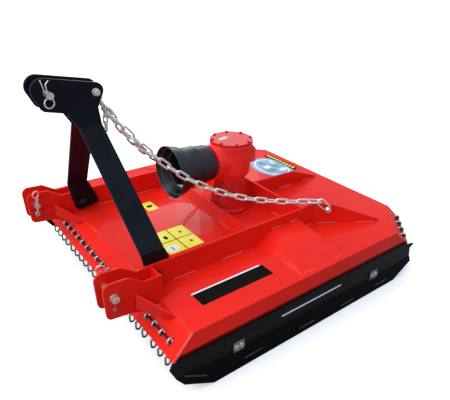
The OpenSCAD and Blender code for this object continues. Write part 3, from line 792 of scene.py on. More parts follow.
@dataclass
class Deck(Assembly):
    """Welded deck with its ribs, ramps, welds and stickers."""

    deck_z: float = 290.0
    rib_in: float = 371.0
    rib_out: float = 381.0
    rotor_y: float = 669.0
    half_width: float = 675.0
    cut_x: float = 477.0
    cut_y: float = 1140.0
    rear_y: float = 1338.0
    wall_z: float = 198.0
    flap_run: float = 82.0
    edge: float = 0.0014
    film: float = 0.5

    def build(self) -> None:
        """Dress the steelwork and add welds and stickers."""
        for node, width in (("deck_shell", self.edge), ("long_ribs", 0.0012), ("lug_plates", 0.0012),
                            ("cross_plates", 0.0012), ("front_beam", 0.0012), ("side_ramps", 0.0014),
                            ("side_skirts", 0.001)):
            copy = self.bench.eased_copy(node, width)
            self.fit(copy, Body.DECK, RED_PAINT, Slot.RED_PAINT, node)
        self._bends()
        self._welds()
        self._stickers()

    def _bends(self) -> None:
        """Round the bent edges of the deck, bead its corner seams and paint shade on the walls' lower edges."""
        x, y_cut, x_cut, y_rear = self.half_width, self.cut_y, self.cut_x, self.rear_y
        tight, wide, seam_ends = self.deck_z - 3.5, self.deck_z - 7.3, self.deck_z - 2.3
        bends = [(Seam((x - 3.5, 0, tight), (x - 3.5, y_cut, tight)), 5.0),
                 (Seam((x - 2.3, y_cut - 2.3, wide), (x_cut - 2.3, y_rear - 2.3, wide)), 8.0),
                 (Seam((0, 3.3, wide), (x - 3, 3.3, wide)), 8.0),
                 (Seam((0, y_rear - 3.3, wide), (x_cut - 2, y_rear - 3.3, wide)), 8.0)]
        bars = [self.bench.rod("deck_bend", a, b, radius * MM) for bend, radius in bends for a, b in bend.runs()]
        self.fit(self.bench.joined("deck_bends", bars), Body.DECK, RED_PAINT, Slot.RED_PAINT)
        # The corner seams take the paler weld red as a painted highlight along these edges.
        seams = [(Seam((x - 3.5, 2.6, seam_ends), (x - 3.5, -79.4, seam_ends - 92)), 5.0),
                 (Seam((x - 3, y_cut - 1, seam_ends), (x - 3, y_cut + 114, seam_ends - 91)), 5.0),
                 (Seam((x_cut - 1, y_rear - 3, seam_ends - 1), (x_cut + 33, y_rear + 79, seam_ends - 92)), 6.0)]
        beads = [self.bench.rod("deck_seam", a, b, radius * MM) for seam, radius in seams for a, b in seam.runs()]
        self.fit(self.bench.joined("deck_seams", beads), Body.DECK, RED_WELD_AND_HIGHLIGHT, Slot.RED_PAINT)
        # Two dark films along the bottom of each side wall: painted shadow at the very bottom and painted shade above
        # it.
        for name, low, high, finish in (("wall_painted_shadow", self.wall_z, self.wall_z + 9, RED_WALL_PAINTED_SHADOW),
                                        ("wall_painted_shade", self.wall_z + 9, self.wall_z + 19, RED_WALL_PAINTED_SHADE)):
            ends = [(-self.flap_run * share, y_cut + self.flap_run * math.sqrt(2) * share)
                    for share in ((self.deck_z - z) / (self.deck_z - self.wall_z) for z in (low, high))]
            (front_low, rear_low), (front_high, rear_high) = ends
            outline = ((front_low, low), (rear_low, low), (rear_high, high), (front_high, high))
            strips = [self.bench.film(name, [at(x * side.value, y, z) for y, z in outline],
                                      Vector((side.value * self.film * MM, 0, 0))) for side in Side]
            self.fit(self.bench.joined(name, strips), Body.DECK, finish, Slot.RED_PAINT)

    def _welds(self) -> None:
        """Add the stitch welds that show on the deck."""
        z, r_in, r_out, mid = self.deck_z + 1, self.rib_in - 1, self.rib_out + 1, self.rotor_y
        seams = [Seam((r_out, 102, z), (r_out, 206, z)), Seam((r_out, 338, z), (r_out, 457, z)),
                 Seam((r_in, 120, z), (r_in, 215, z)), Seam((r_in, 330, z), (r_in, 440, z)),
                 Seam((r_in, 590, z), (r_in, 680, z)), Seam((r_out, 820, z), (r_out, 872, z)),
                 Seam((392, 898, z), (443, 980, z)), Seam((494, 1062, z), (545, 1144, z)),
                 Seam((120, mid - 153, z), (200, mid - 153, z)), Seam((270, mid - 153, z), (330, mid - 153, z)),
                 Seam((150, mid - 107, z), (230, mid - 107, z)), Seam((180, mid + 125, z), (260, mid + 125, z)),
                 Seam((60, mid + 137, z), (140, mid + 137, z)), Seam((250, mid + 137, z), (330, mid + 137, z)),
                 Seam((6, 850, z), (6, 930, z)), Seam((6, 1010, z), (6, 1100, z)), Seam((6, 1190, z), (6, 1260, z)),
                 Seam((r_out, mid - 50, z + 56), (r_out, mid - 2, z + 56)),
                 Seam((r_out, mid + 55, z + 56), (r_out, mid + 103, z + 56)),
                 Seam((650, mid - 120, z + 1), (655, mid - 60, z)), Seam((650, mid + 60, z), (650, mid + 120, z + 1)),
                 Seam((455, -60, z + 1), (492, -18, z + 1)), Seam((384, 13, z), (441, 13, z))]
        beads = [self.bench.weld("deck_weld", a, b) for seam in seams for a, b in seam.runs()]
        self.fit(self.bench.joined("deck_welds", beads), Body.DECK, RED_WELD_AND_HIGHLIGHT, Slot.RED_PAINT)

    def _patch(self, name: str, corners: Sequence[tuple[float, float]], finish: Finish, level: int = 0,
               corner: float = 0.004) -> None:
        """Lay one sticker on the deck.

        Args:
            name: name of the piece.
            corners: its corners in design millimetres.
            finish: its colour.
            level: how many films it lies on.
            corner: radius of its corners in metres.
        """
        z = self.deck_z + level * self.film
        outline = [at(x, y, z) for x, y in corners]
        film = self.bench.film(name, outline, Vector((0, 0, self.film * MM)), corner)
        self.fit(film, Body.DECK, finish, Slot.RED_PAINT)

    def _stickers(self) -> None:
        """Lay the blank stickers in the places and colours of the real ones."""
        self._patch("band_black", [(506, 108), (577, 108), (577, 452), (506, 452)], STICKER_BLACK)
        self._patch("band_white", [(498, 106), (506, 106), (506, 440), (498, 440)], STICKER_WHITE, corner=0.002)
        self._patch("panel_yellow", [(38, 182), (228, 182), (228, 356), (38, 356)], STICKER_YELLOW)
        self._patch("panel_line_along", [(131, 184), (135, 184), (135, 354), (131, 354)], STICKER_BLACK, 1, 0.0)
        self._patch("panel_line_across", [(40, 267), (226, 267), (226, 271), (40, 271)], STICKER_BLACK, 1, 0.0)
        for number, (x, y, half) in enumerate(((88, 316, 9), (98, 234, 15), (180, 318, 9))):
            self._round(f"panel_dot_{number}", x, y, half, 0.6 * half, STICKER_BLACK, 1)
        self._round("panel_white", 192, 216, 28, 30, STICKER_WHITE, 1)
        self._round("panel_grey", 192, 216, 17, 4, STICKER_GREY, 2)
        self._patch("label_yellow", [(-255, 292), (-163, 292), (-163, 350), (-255, 350)], STICKER_YELLOW)
        self._round("label_dot", -209, 321, 12, 16, STICKER_BLACK, 1)
        self._patch("emblem_strip", [(-402, 1258), (-138, 1258), (-138, 1294), (-402, 1294)], STICKER_BLACK, 4)
        for number in range(9):
            x = -394 + number * 28
            self._patch(f"emblem_strip_mark_{number}", [(x, 1266), (x + 19, 1266), (x + 19, 1286), (x, 1286)],
                        STICKER_YELLOW, 5, 0.0)
        for level, (name, half_x, half_y, finish) in enumerate((("blue", 150, 110, STICKER_BLUE),
                                                                ("ring", 128, 90, STICKER_WHITE),
                                                                ("middle", 117, 80, STICKER_BLUE))):
            self._round(f"emblem_{name}", -240, 1176, half_x, half_y, finish, level)
        for number, (x, y, half_x, half_y) in enumerate(((-312, 1158, 40, 18), (-200, 1140, 24, 32),
                                                         (-246, 1206, 34, 12))):
            self._round(f"emblem_bar_{number}", x, y, half_x, half_y, STICKER_GREY, 3)
        for number, (x, y, half_x, half_y) in enumerate(((-254, 1150, 26, 22), (-284, 1220, 30, 9),
                                                         (-176, 1212, 20, 28))):
            self._round(f"emblem_glint_{number}", x, y, half_x, half_y, STICKER_WHITE, 3)

    def _round(self, name: str, x: float, y: float, half_x: float, half_y: float, finish: Finish,
               level: int) -> None:
        """Lay an oval sticker on the deck.

        Args:
            name: name of the piece.
            x: its middle, to the left.
            y: its middle, behind the crease.
            half_x: half its width.
            half_y: half its length.
            finish: its colour.
            level: how many films it lies on.
        """
        steps = 32
        ring = [(x + half_x * math.cos(math.tau * i / steps), y + half_y * math.sin(math.tau * i / steps))
                for i in range(steps)]
        self._patch(name, ring, finish, level, 0.0)


class LinkMaker:
    """Models one oval chain link and places copies of it."""

    def __init__(self, bench: Bench, wire: float, sides: int = 20) -> None:
        """Keep the wire's diameter in metres and the steps round a link."""
        self.bench = bench
        self.wire = wire
        self.sides = sides

    def model(self, name: str, length: float, width: float) -> bpy.types.Object:
        """Model a link in the xz plane with its long side along z.

        Args:
            name: name of the link.
            length: outer length in metres.
            width: outer width in metres.

        Returns:
            The link, at the origin.
        """
        major = (width - self.wire) / 2
        self.bench.clear()
        bpy.ops.mesh.primitive_torus_add(major_radius=major, minor_radius=self.wire / 2,
                                         major_segments=self.sides, minor_segments=8, location=(0, 0, 0))
        link = self.bench.named(name)
        reach = (length - width) / 2
        for vertex in link.data.vertices:
            if abs(vertex.co.y) > major * 0.05:
                vertex.co.y += math.copysign(reach, vertex.co.y)
        link.data.transform(Matrix.Rotation(math.pi / 2, 4, "X"))
        self.bench.smooth(link, 80.0)
        return link

    def place(self, link: bpy.types.Object, where: Matrix) -> bpy.types.Object:
        """Copy a link, with its own mesh, to a place given as a matrix."""
        copy = link.copy()
        copy.data = link.data.copy()
        copy.data.transform(where)
        bpy.context.scene.collection.objects.link(copy)
        return copy


@dataclass(frozen=True)
class Row:
    """One row of guard chains along a crease, in millimetres and degrees."""

    name: str
    x: float
    y: float
    turn: float
    count: int
    pitch: float


@dataclass
class GuardChains(Assembly):
    """Short chains that hang through slots in the front and rear flaps."""

    deck_z: float = 290.0
    run: float = 82.0
    drop: float = 92.0
    link_length: float = 52.0
    link_width: float = 30.0
    wire: float = 8.0
    head_wire: float = 9.4
    rod: float = 8.0
    seat: float = 0.3
    slot_drop: float = 15.0

    def rows(self) -> list[Row]:
        """Return the rows in front, outside the lugs, at the cut corners and behind."""
        outer, cut_x, cut_y = 530.0, 555.0, 1260.0
        return [Row("front", 0, 0, 0, 15, 54), Row("front_left", outer, 0, 0, 4, 54),
                Row("front_right", -outer, 0, 0, 4, 54), Row("corner_left", cut_x, cut_y, 135, 4, 60),
                Row("corner_right", -cut_x, cut_y, 225, 4, 60), Row("rear", 0, 1338, 180, 14, 64)]

    def build(self) -> None:
        """Hang every chain and replace the plain ones."""
        maker = LinkMaker(self.bench, self.wire * MM)
        link = maker.model("guard_link", self.link_length * MM, self.link_width * MM)
        more = 2 * (self.head_wire - self.wire)
        ring = LinkMaker(self.bench, self.head_wire * MM).model("guard_ring", (self.link_length + more) * MM,
                                                                (self.link_width + more) * MM)
        slope = math.atan2(self.drop, self.run)
        out = self.rod + 2 * self.seat + self.wire
        cross = self.wire / 2 * (math.sin(slope) + math.cos(slope))
        depth = self.link_length - out - self.wire - self.seat - cross
        slot_y = -self.run / 2 - self.slot_drop * math.cos(slope)
        slot_z = self.deck_z - self.drop / 2 - self.slot_drop * math.sin(slope)
        first = (Matrix.Translation(Vector((0, slot_y, slot_z)))
                 @ Matrix.Rotation(slope, 4, "X") @ Matrix.Translation(Vector((0, 0, out - self.link_length / 2)))
                 @ Matrix.Rotation(math.pi / 2, 4, "Z"))
        hang_z = slot_z - depth * math.cos(slope) + self.wire / 2 - self.link_length / 2
        second = Matrix.Translation(Vector((0, slot_y + depth * math.sin(slope), hang_z)))
        third = (second @ Matrix.Translation(Vector((0, 0, 2 * self.wire + self.seat - self.link_length)))
                 @ Matrix.Rotation(math.pi / 2, 4, "Z"))
        turn_down = (Matrix.Translation(Vector((0, 0, 2 * self.wire + self.seat - self.link_length)))
                     @ Matrix.Rotation(math.pi / 2, 4, "Z"))
        fourth = third @ turn_down
        fifth = fourth @ turn_down
        replaced = ["guard_chains"]
        for row in self.rows():
            heads, hanging = [], []
            for index in range(row.count):
                shift = (index - (row.count - 1) / 2) * row.pitch
                base = (Matrix.Translation(Vector((row.x, row.y - CREASE_SHIFT, 0)))
                        @ Matrix.Rotation(math.radians(row.turn), 4, "Z") @ Matrix.Translation(Vector((shift, 0, 0))))
                for step in (first, second, third, fourth, fifth):
                    spot = base @ step
                    spot.translation *= MM
                    if step is first:
                        heads.append(maker.place(ring, spot))
                    else:
                        hanging.append(maker.place(link, spot))
            chain = self.bench.joined(f"guard_heads_{row.name}", heads)
            self.fit(chain, Body.DECK, GUARD_STEEL, Slot.ZINC, *replaced)
            # The hanging links take the darker chain steel as painted shade under the flap; the heads on top keep the
            # bright steel.
            tail = self.bench.joined(f"guard_chains_{row.name}", hanging)
            self.fit(tail, Body.DECK, HANGING_STEEL, Slot.ZINC)
            replaced = []
        bpy.data.objects.remove(link)
        bpy.data.objects.remove(ring)
        self.keep("guard_rods", DARK_STEEL)


@dataclass
class StayChains(Assembly):
    """Long chains that hold the mast back to the tails of the ribs."""

    count: int = 24
    sag: float = 190.0
    skew: float = 0.33
    walk: float = 0.65
    turn: tuple[float, float] = (0.03, 0.13)
    wire: float = 8.0
    width: float = 28.0
    end_width: float = 38.0
    play: float = 1.0
    end_play: float = 6.0
    swell: float = 2.0
    bolt: tuple[float, float, float] = (15.0, 0.0, 971.0)
    bolt_radius: float = 8.0
    rib_in: float = 371.0
    bend_y: float = 887.0
    tail_turn: float = 32.0
    rib_top: float = 393.0

    def on_tail(self, out: float, along: float, z: float) -> Vector:
        """Return a place beside the tail plate in millimetres."""
        c, s = math.cos(math.radians(self.tail_turn)), math.sin(math.radians(self.tail_turn))
        return Vector((self.rib_in + out * c + along * s, self.bend_y - out * s + along * c, z))

    def on_span(self, a: Vector, b: Vector, t: float) -> Vector:
        """Return the place at share t of the sagging span from a to b."""
        start, end = self.turn
        side = max(0.0, t - start) ** 2 / (end - start) / 2 if t < end else t - (start + end) / 2
        side /= 1 - (start + end) / 2
        dip = 4 * self.sag * t * (1 - t) * (1 + self.skew * (1 - 2 * t))
        return Vector((a.x + (b.x - a.x) * side, a.y + (b.y - a.y) * t, a.z + (b.z - a.z) * t - dip))

    def joints(self) -> list[Vector]:
        """Return where each link meets the next, from the mast bolt to the anchor."""
        bolt, edge = Vector(self.bolt), self.on_tail(16, 22, self.rib_top + 16)
        pin = self.on_tail(16, 62, self.rib_top - 22)
        shares = [i / self.count * (self.walk + (1 - self.walk) * i / self.count) for i in range(self.count + 1)]
        start = bolt - (self.on_span(bolt, edge, shares[1]) - bolt).normalized() * (self.bolt_radius + 0.2)
        reach = self.bolt_radius - self.end_play / 2 + 0.7
        return [self.on_span(start, edge, t) for t in shares] + [pin + (pin - edge).normalized() * reach]

    def build(self) -> None:
        """Lay the links of both chains, bending between mast and deck."""
        maker = LinkMaker(self.bench, (self.wire + self.swell) * MM, 24)
        places = self.joints()
        for side in Side:
            links = []
            for index, (a, b) in enumerate(zip(places, places[1:])):
                last = index == self.count
                turn = 0.0 if last else index % 2 * math.pi / 2
                length = (b - a).length + 2 * self.wire + (self.end_play if last else self.play)
                width = self.end_width if last or index in (0, self.count - 1) else self.width
                wider = self.swell if index > 3 else 0.0
                link = maker.model("stay_link", (length + self.swell) * MM, (width + 2 * wider) * MM)
                links.append(maker.place(link, self._stand(a, b, turn)))
                bpy.data.objects.remove(link)
            chain = self.bench.joined(f"stay_chain_{side.name.lower()}", links)
            if side is Side.RIGHT:
                chain.data.transform(Matrix.Scale(-1, 4, (1, 0, 0)))
                self.bench.outward(chain)
            self.shop.coat(chain, ZINC)
            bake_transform(chain)
            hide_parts("stay_chains")
            self.pieces.append(chain)
        self.hang_tail()

    def hang_tail(self) -> None:
        """Hang the spare links of the left chain beside its top end."""
        maker = LinkMaker(self.bench, self.wire * MM, 24)
        link = maker.model("spare_link", 0.045, self.width * 0.85 * MM)
        tops = [Vector((15, 38, z)) for z in (896, 868, 840, 812)]
        spare = [maker.place(link, self._stand(b, a, index % 2 * math.pi / 2))
                 for index, (a, b) in enumerate(zip(tops, tops[1:]))]
        bpy.data.objects.remove(link)
        self.fit(self.bench.joined("spare_links", spare), Body.MAST, ZINC, Slot.ZINC)

    @staticmethod
    def _stand(a: Vector, b: Vector, turn: float) -> Matrix:
        """Return where a link between two joints stands, in metres.

        Args:
            a: the joint before it, in millimetres.
            b: the joint behind it.
            turn: how far it is turned about its length.

        Returns:
            The matrix that carries the link there.
        """
        run = b - a
        spot = (Matrix.Translation(at(*((a + b) / 2)))
                @ Matrix.Rotation(math.atan2(run.y, run.x), 4, "Z")
                @ Matrix.Rotation(math.atan2(math.hypot(run.x, run.y), run.z), 4, "Y")
                @ Matrix.Rotation(turn, 4, "Z"))
        return spot


@dataclass
class Hitch(Assembly):
    """Lower hitch pins with their washers, locking rings and bolts."""

    pin_y: float = -178.0
    pin_z: float = 380.0
    lock_z: float = 330.0
    inner_face: float = 371.0
    ring_face: float = 459.0
    pin_end: float = 475.0
    lug_face: float = 454.0

    def build(self) -> None:
        """Fit the fasteners of both lugs."""
        for side in Side:
            s, tag = side.value, side.name.lower()
            out, inward = Vector((s, 0, 0)), Vector((-s, 0, 0))
            collar = self.bench.washer(f"pin_collar_{tag}", at(self.ring_face * s, self.pin_y, self.pin_z), out,
                                       0.0160, 0.0142, 0.003)
            self.fit(collar, Body.DECK, YELLOW_ZINC, Slot.ZINC)
            mark = self.bench.hex_head(f"pin_end_{tag}", at(self.pin_end * s, self.pin_y, self.pin_z), out, 0.014,
                                       0.002)
            self.fit(mark, Body.DECK, YELLOW_ZINC, Slot.ZINC)
            heads = [self.bench.hex_head("lock_head", at(self.lug_face * s, self.pin_y, self.lock_z), out, 0.014,
                                         0.006, washer=0.0090),
                     self.bench.hex_head("lock_nut", at(self.inner_face * s, self.pin_y, self.lock_z), inward, 0.021,
                                         0.007, washer=0.0125)]
            self.fit(self.bench.joined(f"lock_bolt_ends_{tag}", heads), Body.DECK, HANGING_STEEL, Slot.ZINC)
            self._linch_pin(side)
        self.keep("lower_pins", ZINC)
        self.keep("lock_bolts", RED_PAINT)

    def _linch_pin(self, side: Side) -> None:
        """Fit the ringed spring pin through the inner end of a hitch pin."""
        x = (self.inner_face - 14) * side.value
        facing = Vector((side.value, -0.35, 0.1))
        ring = self.bench.hoop("linch_ring", at(x, self.pin_y + 2, self.pin_z + 56), facing, 0.0165, 0.0024)
        loop = self.bench.hoop("linch_loop", at(x, self.pin_y - 2, self.pin_z - 42), facing, 0.0105, 0.0024)
        stem = self.bench.rod("linch_stem", at(x, self.pin_y - 1, self.pin_z - 32),
                              at(x, self.pin_y + 1, self.pin_z + 40), 0.0032, 16, 0.0012)
        spring = self.bench.rod("linch_spring", at(x - 9 * side.value, self.pin_y - 4, self.pin_z - 33),
                                at(x - 13 * side.value, self.pin_y + 6, self.pin_z + 41), 0.0020, 12, 0.0008)
        self.fit(self.bench.joined(f"linch_pin_{side.name.lower()}", [stem, spring, ring, loop]), Body.DECK, ZINC,
                 Slot.ZINC)


@dataclass
class Mast(Assembly):
    """Bent mast plates with the top link pin, chain bolt and foot bolts."""

    head_face: float = 40.0
    top_y: float = -178.0
    top_z: float = 990.0
    chain_z: float = 971.0
    foot_y: float = 35.0
    foot_z: float = 343.0
    foot_in: float = 360.7
    rib_out: float = 381.0

    def build(self) -> None:
        """Dress the plates and fit their fasteners."""
        self.fit(self.bench.eased_copy("mast_plates", 0.0013), Body.MAST, BLACK_PAINT, Slot.BLACK_PAINT,
                 "mast_plates")
        for side in Side:
            s, tag = side.value, side.name.lower()
            out, inward = Vector((s, 0, 0)), Vector((-s, 0, 0))
            nut = self.bench.hex_head(f"chain_bolt_nut_{tag}", at(self.head_face * s, 0, self.chain_z), out, 0.023,
                                      0.014, washer=0.0145)
            self.fit(nut, Body.MAST, ZINC, Slot.ZINC)
            ends = [self.bench.hex_head("foot_nut", at(self.rib_out * s, self.foot_y, self.foot_z), out, 0.026,
                                        0.013, washer=0.016),
                    self.bench.hex_head("foot_head", at((self.foot_in - 5) * s, self.foot_y, self.foot_z), inward,
                                        0.026, 0.010, washer=0.016)]
            self.fit(self.bench.joined(f"foot_bolt_ends_{tag}", ends), Body.DECK, DARK_STEEL, Slot.ZINC)
            self._ring_pin(side)
        self.keep("top_pin", ZINC)
        self.keep("chain_bolt", ZINC)
        self.keep("mast_bolts", DARK_STEEL)

    def _ring_pin(self, side: Side) -> None:
        """Fit the spring clip and its hanging ring at a free end of the top pin."""
        s = side.value
        x = (self.head_face + 11) * s
        ring = self.bench.hoop("clip_ring", at(x + 4 * s, self.top_y + 2, self.top_z - 32), Vector((s, 0.1, 0.0)),
                               0.0175, 0.0028)
        legs = [self.bench.rod("clip_leg", at(x, self.top_y - 3, self.top_z - 16),
                               at(x, self.top_y - 18, self.top_z + 50), 0.0022, 12, 0.0006),
                self.bench.rod("clip_leg_bent", at(x, self.top_y + 3, self.top_z - 18),
                               at(x, self.top_y - 2, self.top_z + 34), 0.0022, 12, 0.0006),
                self.bench.rod("clip_tip", at(x, self.top_y - 2, self.top_z + 33),
                               at(x, self.top_y + 10, self.top_z + 45), 0.0022, 12, 0.0006)]
        self.fit(self.bench.joined(f"top_pin_clip_{side.name.lower()}", [*legs, ring]), Body.MAST, ZINC, Slot.ZINC)


@dataclass
class Anchors(Assembly):
    """Bolts that hold the stay chains on the tails of the ribs."""

    tail_turn: float = 32.0

    def build(self) -> None:
        """Fit a rounded nut on each anchor and dress the bolt."""
        stay = StayChains(self.bench, self.shop)
        for side in Side:
            s = side.value
            c, n = math.cos(math.radians(self.tail_turn)), math.sin(math.radians(self.tail_turn))
            out = Vector((c * s, -n, 0))
            face = stay.on_tail(34, 62, stay.rib_top - 22)
            back = stay.on_tail(0, 62, stay.rib_top - 22)
            parts = [self.bench.hex_head("anchor_nut", at(face.x * s, face.y, face.z), out, 0.024, 0.010),
                     self.bench.hex_head("anchor_head", at(back.x * s, back.y, back.z), -out, 0.024, 0.012)]
            self.fit(self.bench.joined(f"anchor_ends_{side.name.lower()}", parts), Body.DECK, ZINC, Slot.ZINC)
        self.keep("chain_anchors", ZINC)


@dataclass
class Gearbox(Assembly):
    """Cast gearbox on its neck, with cap, bolts and blank plate."""

    rotor_y: float = 669.0
    case_radius: float = 104.0
    cap_z: float = 647.0
    neck_top: float = 450.0
    voxel: float = 0.0035

    def build(self) -> None:
        """Round the castings off and fit what is bolted to them."""
        for node in ("gearbox_case", "gearbox_neck"):
            casting = self.bench.eased_copy(node, 0.0)
            self.bench.modify(casting, "REMESH", mode="VOXEL", voxel_size=self.voxel)
            self.bench.modify(casting, "SMOOTH", factor=0.5, iterations=9)
            self.bench.smooth(casting, 50.0)
            # The neck takes the darker copy of the casting red as painted shade under the case.
            finish = RED_CASTING if node == "gearbox_case" else RED_NECK_PAINTED_SHADE
            self.fit(casting, Body.DECK, finish, Slot.RED_CASTING, node)
        # The cap takes a darker copy of the casting red as painted shade.
        cap = self.bench.eased_copy("gearbox_cap", 0.0012)
        self.fit(cap, Body.DECK, RED_CAP_PAINTED_SHADE, Slot.RED_CASTING, "gearbox_cap")
        self._rims()
        self._breather()
        self._plate()

    def _rims(self) -> None:
        """Add the machined rims under the cap and round the neck, and the neck's cast ribs."""
        up = Vector((0, 0, 1))
        rims = [self.bench.hoop("cap_rim", at(0, self.rotor_y, self.cap_z - 13), up, 0.1035, 0.0016, 72, 8),
                self.bench.hoop("case_rim", at(0, self.rotor_y, self.cap_z - 29), up, 0.1035, 0.0014, 72, 8),
                self.bench.hoop("neck_rim", at(0, self.rotor_y, self.neck_top), up, 0.070, 0.003, 72, 8)]
        self.fit(self.bench.joined("gearbox_rims", rims), Body.DECK, RED_CASTING, Slot.RED_CASTING)
        ribs = []
        for index in range(8):
            turn = math.radians(45 * index + 14)
            way = Vector((math.cos(turn), math.sin(turn), 0))
            foot, head = (at(0, self.rotor_y, z) + way * r * MM for r, z in ((97.0, 294), (69.5, 444)))
            ribs.append(self.bench.weld("neck_rib", foot, head, 0.0042))
        self.fit(self.bench.joined("neck_ribs", ribs), Body.DECK, RED_NECK_PAINTED_SHADE, Slot.RED_CASTING)

    def _breather(self) -> None:
        """Fit the plug in the rear boss."""
        way = Vector((math.cos(math.pi / 4), math.sin(math.pi / 4), 0))
        middle = at(0, self.rotor_y, 0) + way * (self.case_radius - 5) * MM
        plug = self.bench.hex_head("breather_plug", Vector((middle.x, middle.y, 0.6095)), Vector((0, 0, 1)), 0.019,
                                   0.008, washer=0.014)
        self.fit(plug, Body.DECK, RED_CASTING, Slot.RED_CASTING)

    def _plate(self) -> None:
        """Lay the blank oval plate on the cap."""
        steps, way, across = 28, Vector((-0.25, 0.97, 0)).normalized(), Vector((0.97, 0.25, 0)).normalized()
        middle = at(-20, self.rotor_y - 34, self.cap_z)
        ring = [middle + way * 0.033 * math.cos(math.tau * i / steps) + across * 0.015 * math.sin(math.tau * i / steps)
                for i in range(steps)]
        plate = self.bench.film("cap_plate", ring, Vector((0, 0, 0.0008)))
        self.fit(plate, Body.DECK, STICKER_PALE, Slot.RED_CASTING)


@dataclass
class Driveline(Assembly):
    """Splined input shaft inside its moulded shield."""

    shaft_z: float = 554.0
    front_y: float = 405.0
    rear_y: float = 512.0
    outer: float = 17.45
    root: float = 14.6
    splines: int = 6
    shield_y: float = 319.0

    def build(self) -> None:
        """Cut the splines and dress the shield."""
        self._splined_end()
        self.keep("input_shaft", BARE_STEEL)
        outside = ((0, 119.0), (2, 120.8), (7, 119.6), (52, 108.4), (59, 105.6), (64, 101.0), (70, 98.6), (120, 93.4),
                   (128, 95.0), (136, 95.0), (144, 91.4), (196, 86.6), (208, 84.2), (211, 82.0))
        inside = ((211, 61.2), (206, 61.2), (205, 79.6), (64, 93.2), (52, 99.0), (4, 116.0), (1, 117.2))
        profile = [(back * MM, radius * MM) for back, radius in (*outside, *inside)]
        shield = self.bench.turned("shield_dressed", profile, at(0, self.shield_y, self.shaft_z), 96)
        self.fit(shield, Body.DECK, BLACK_PLASTIC, Slot.BLACK_PLASTIC, "pto_shield")
        # The inner ridges are light grey as a painted highlight.
        along = Vector((0, 1, 0))
        edges = [self.bench.hoop("inner_ridge", at(0, self.shield_y + back, self.shaft_z), along, inner * MM, 0.0013,
                                 96, 8) for back, inner in ((22, 108.2), (58, 94.6))]
        self.fit(self.bench.joined("shield_inner_edges", edges), Body.DECK, PLASTIC_EDGE_HIGHLIGHT, Slot.BLACK_PLASTIC)
        tag = [at(-30, 380, self.shaft_z - 88.5), at(6, 380, self.shaft_z - 88.5), at(-10, 408, self.shaft_z - 88.0)]
        self.fit(self.bench.film("shield_tag", tag, Vector((0, 0, 0.0006))), Body.DECK, STICKER_WHITE,
                 Slot.BLACK_PLASTIC)

    def _splined_end(self) -> None:
        """Model the shaft's end with its splines and locking groove."""
        steps = self.splines * 8
        self.bench.clear()
        bpy.ops.mesh.primitive_cylinder_add(vertices=steps, radius=self.outer * MM,
                                            depth=(self.rear_y - self.front_y) * MM,
                                            location=at(0, (self.front_y + self.rear_y) / 2, self.shaft_z),
                                            rotation=(math.pi / 2, 0, 0))
        shaft = self.bench.named("input_shaft_splines")
        axis = at(0, 0, self.shaft_z)
        for vertex in shaft.data.vertices:
            arm = Vector((vertex.co.x - axis.x, 0, vertex.co.z - axis.z))
            turn = math.degrees(math.atan2(arm.z, arm.x)) % (360 / self.splines)
            if turn > 180 / self.splines:
                arm *= self.root / self.outer
            vertex.co.x, vertex.co.z = axis.x + arm.x, axis.z + arm.z
        self.bench.outward(shaft)
        self.bench.ease(shaft, 0.0006, 1, 40.0)
        self.fit(shaft, Body.INPUT, BARE_STEEL, Slot.BARE_STEEL)


@dataclass
class Rotor(Assembly):
    """Blade bar with its swinging blades."""

    bolt_radius: float = 400.0
    rotor_y: float = 669.0

    def build(self) -> None:
        """Ease the rotor's edges and fit the blade nuts."""
        for node, body, finish in (("blade_bar", Body.ROTOR, BLADE_STEEL), ("blade_1", Body.BLADE_LEFT, BLADE_STEEL),
                                   ("blade_2", Body.BLADE_RIGHT, BLADE_STEEL)):
            self.fit(self.bench.eased_copy(node, 0.0012), body, finish, Slot.BARE_STEEL, node)
        self.keep("rotor_spindle", BARE_STEEL)
        nuts = [self.bench.hex_head("blade_nut", at(s.value * self.bolt_radius, self.rotor_y, 148), Vector((0, 0, 1)),
                                    0.036, 0.018) for s in Side]
        self.fit(self.bench.joined("blade_nuts", nuts), Body.ROTOR, DARK_STEEL, Slot.BARE_STEEL)


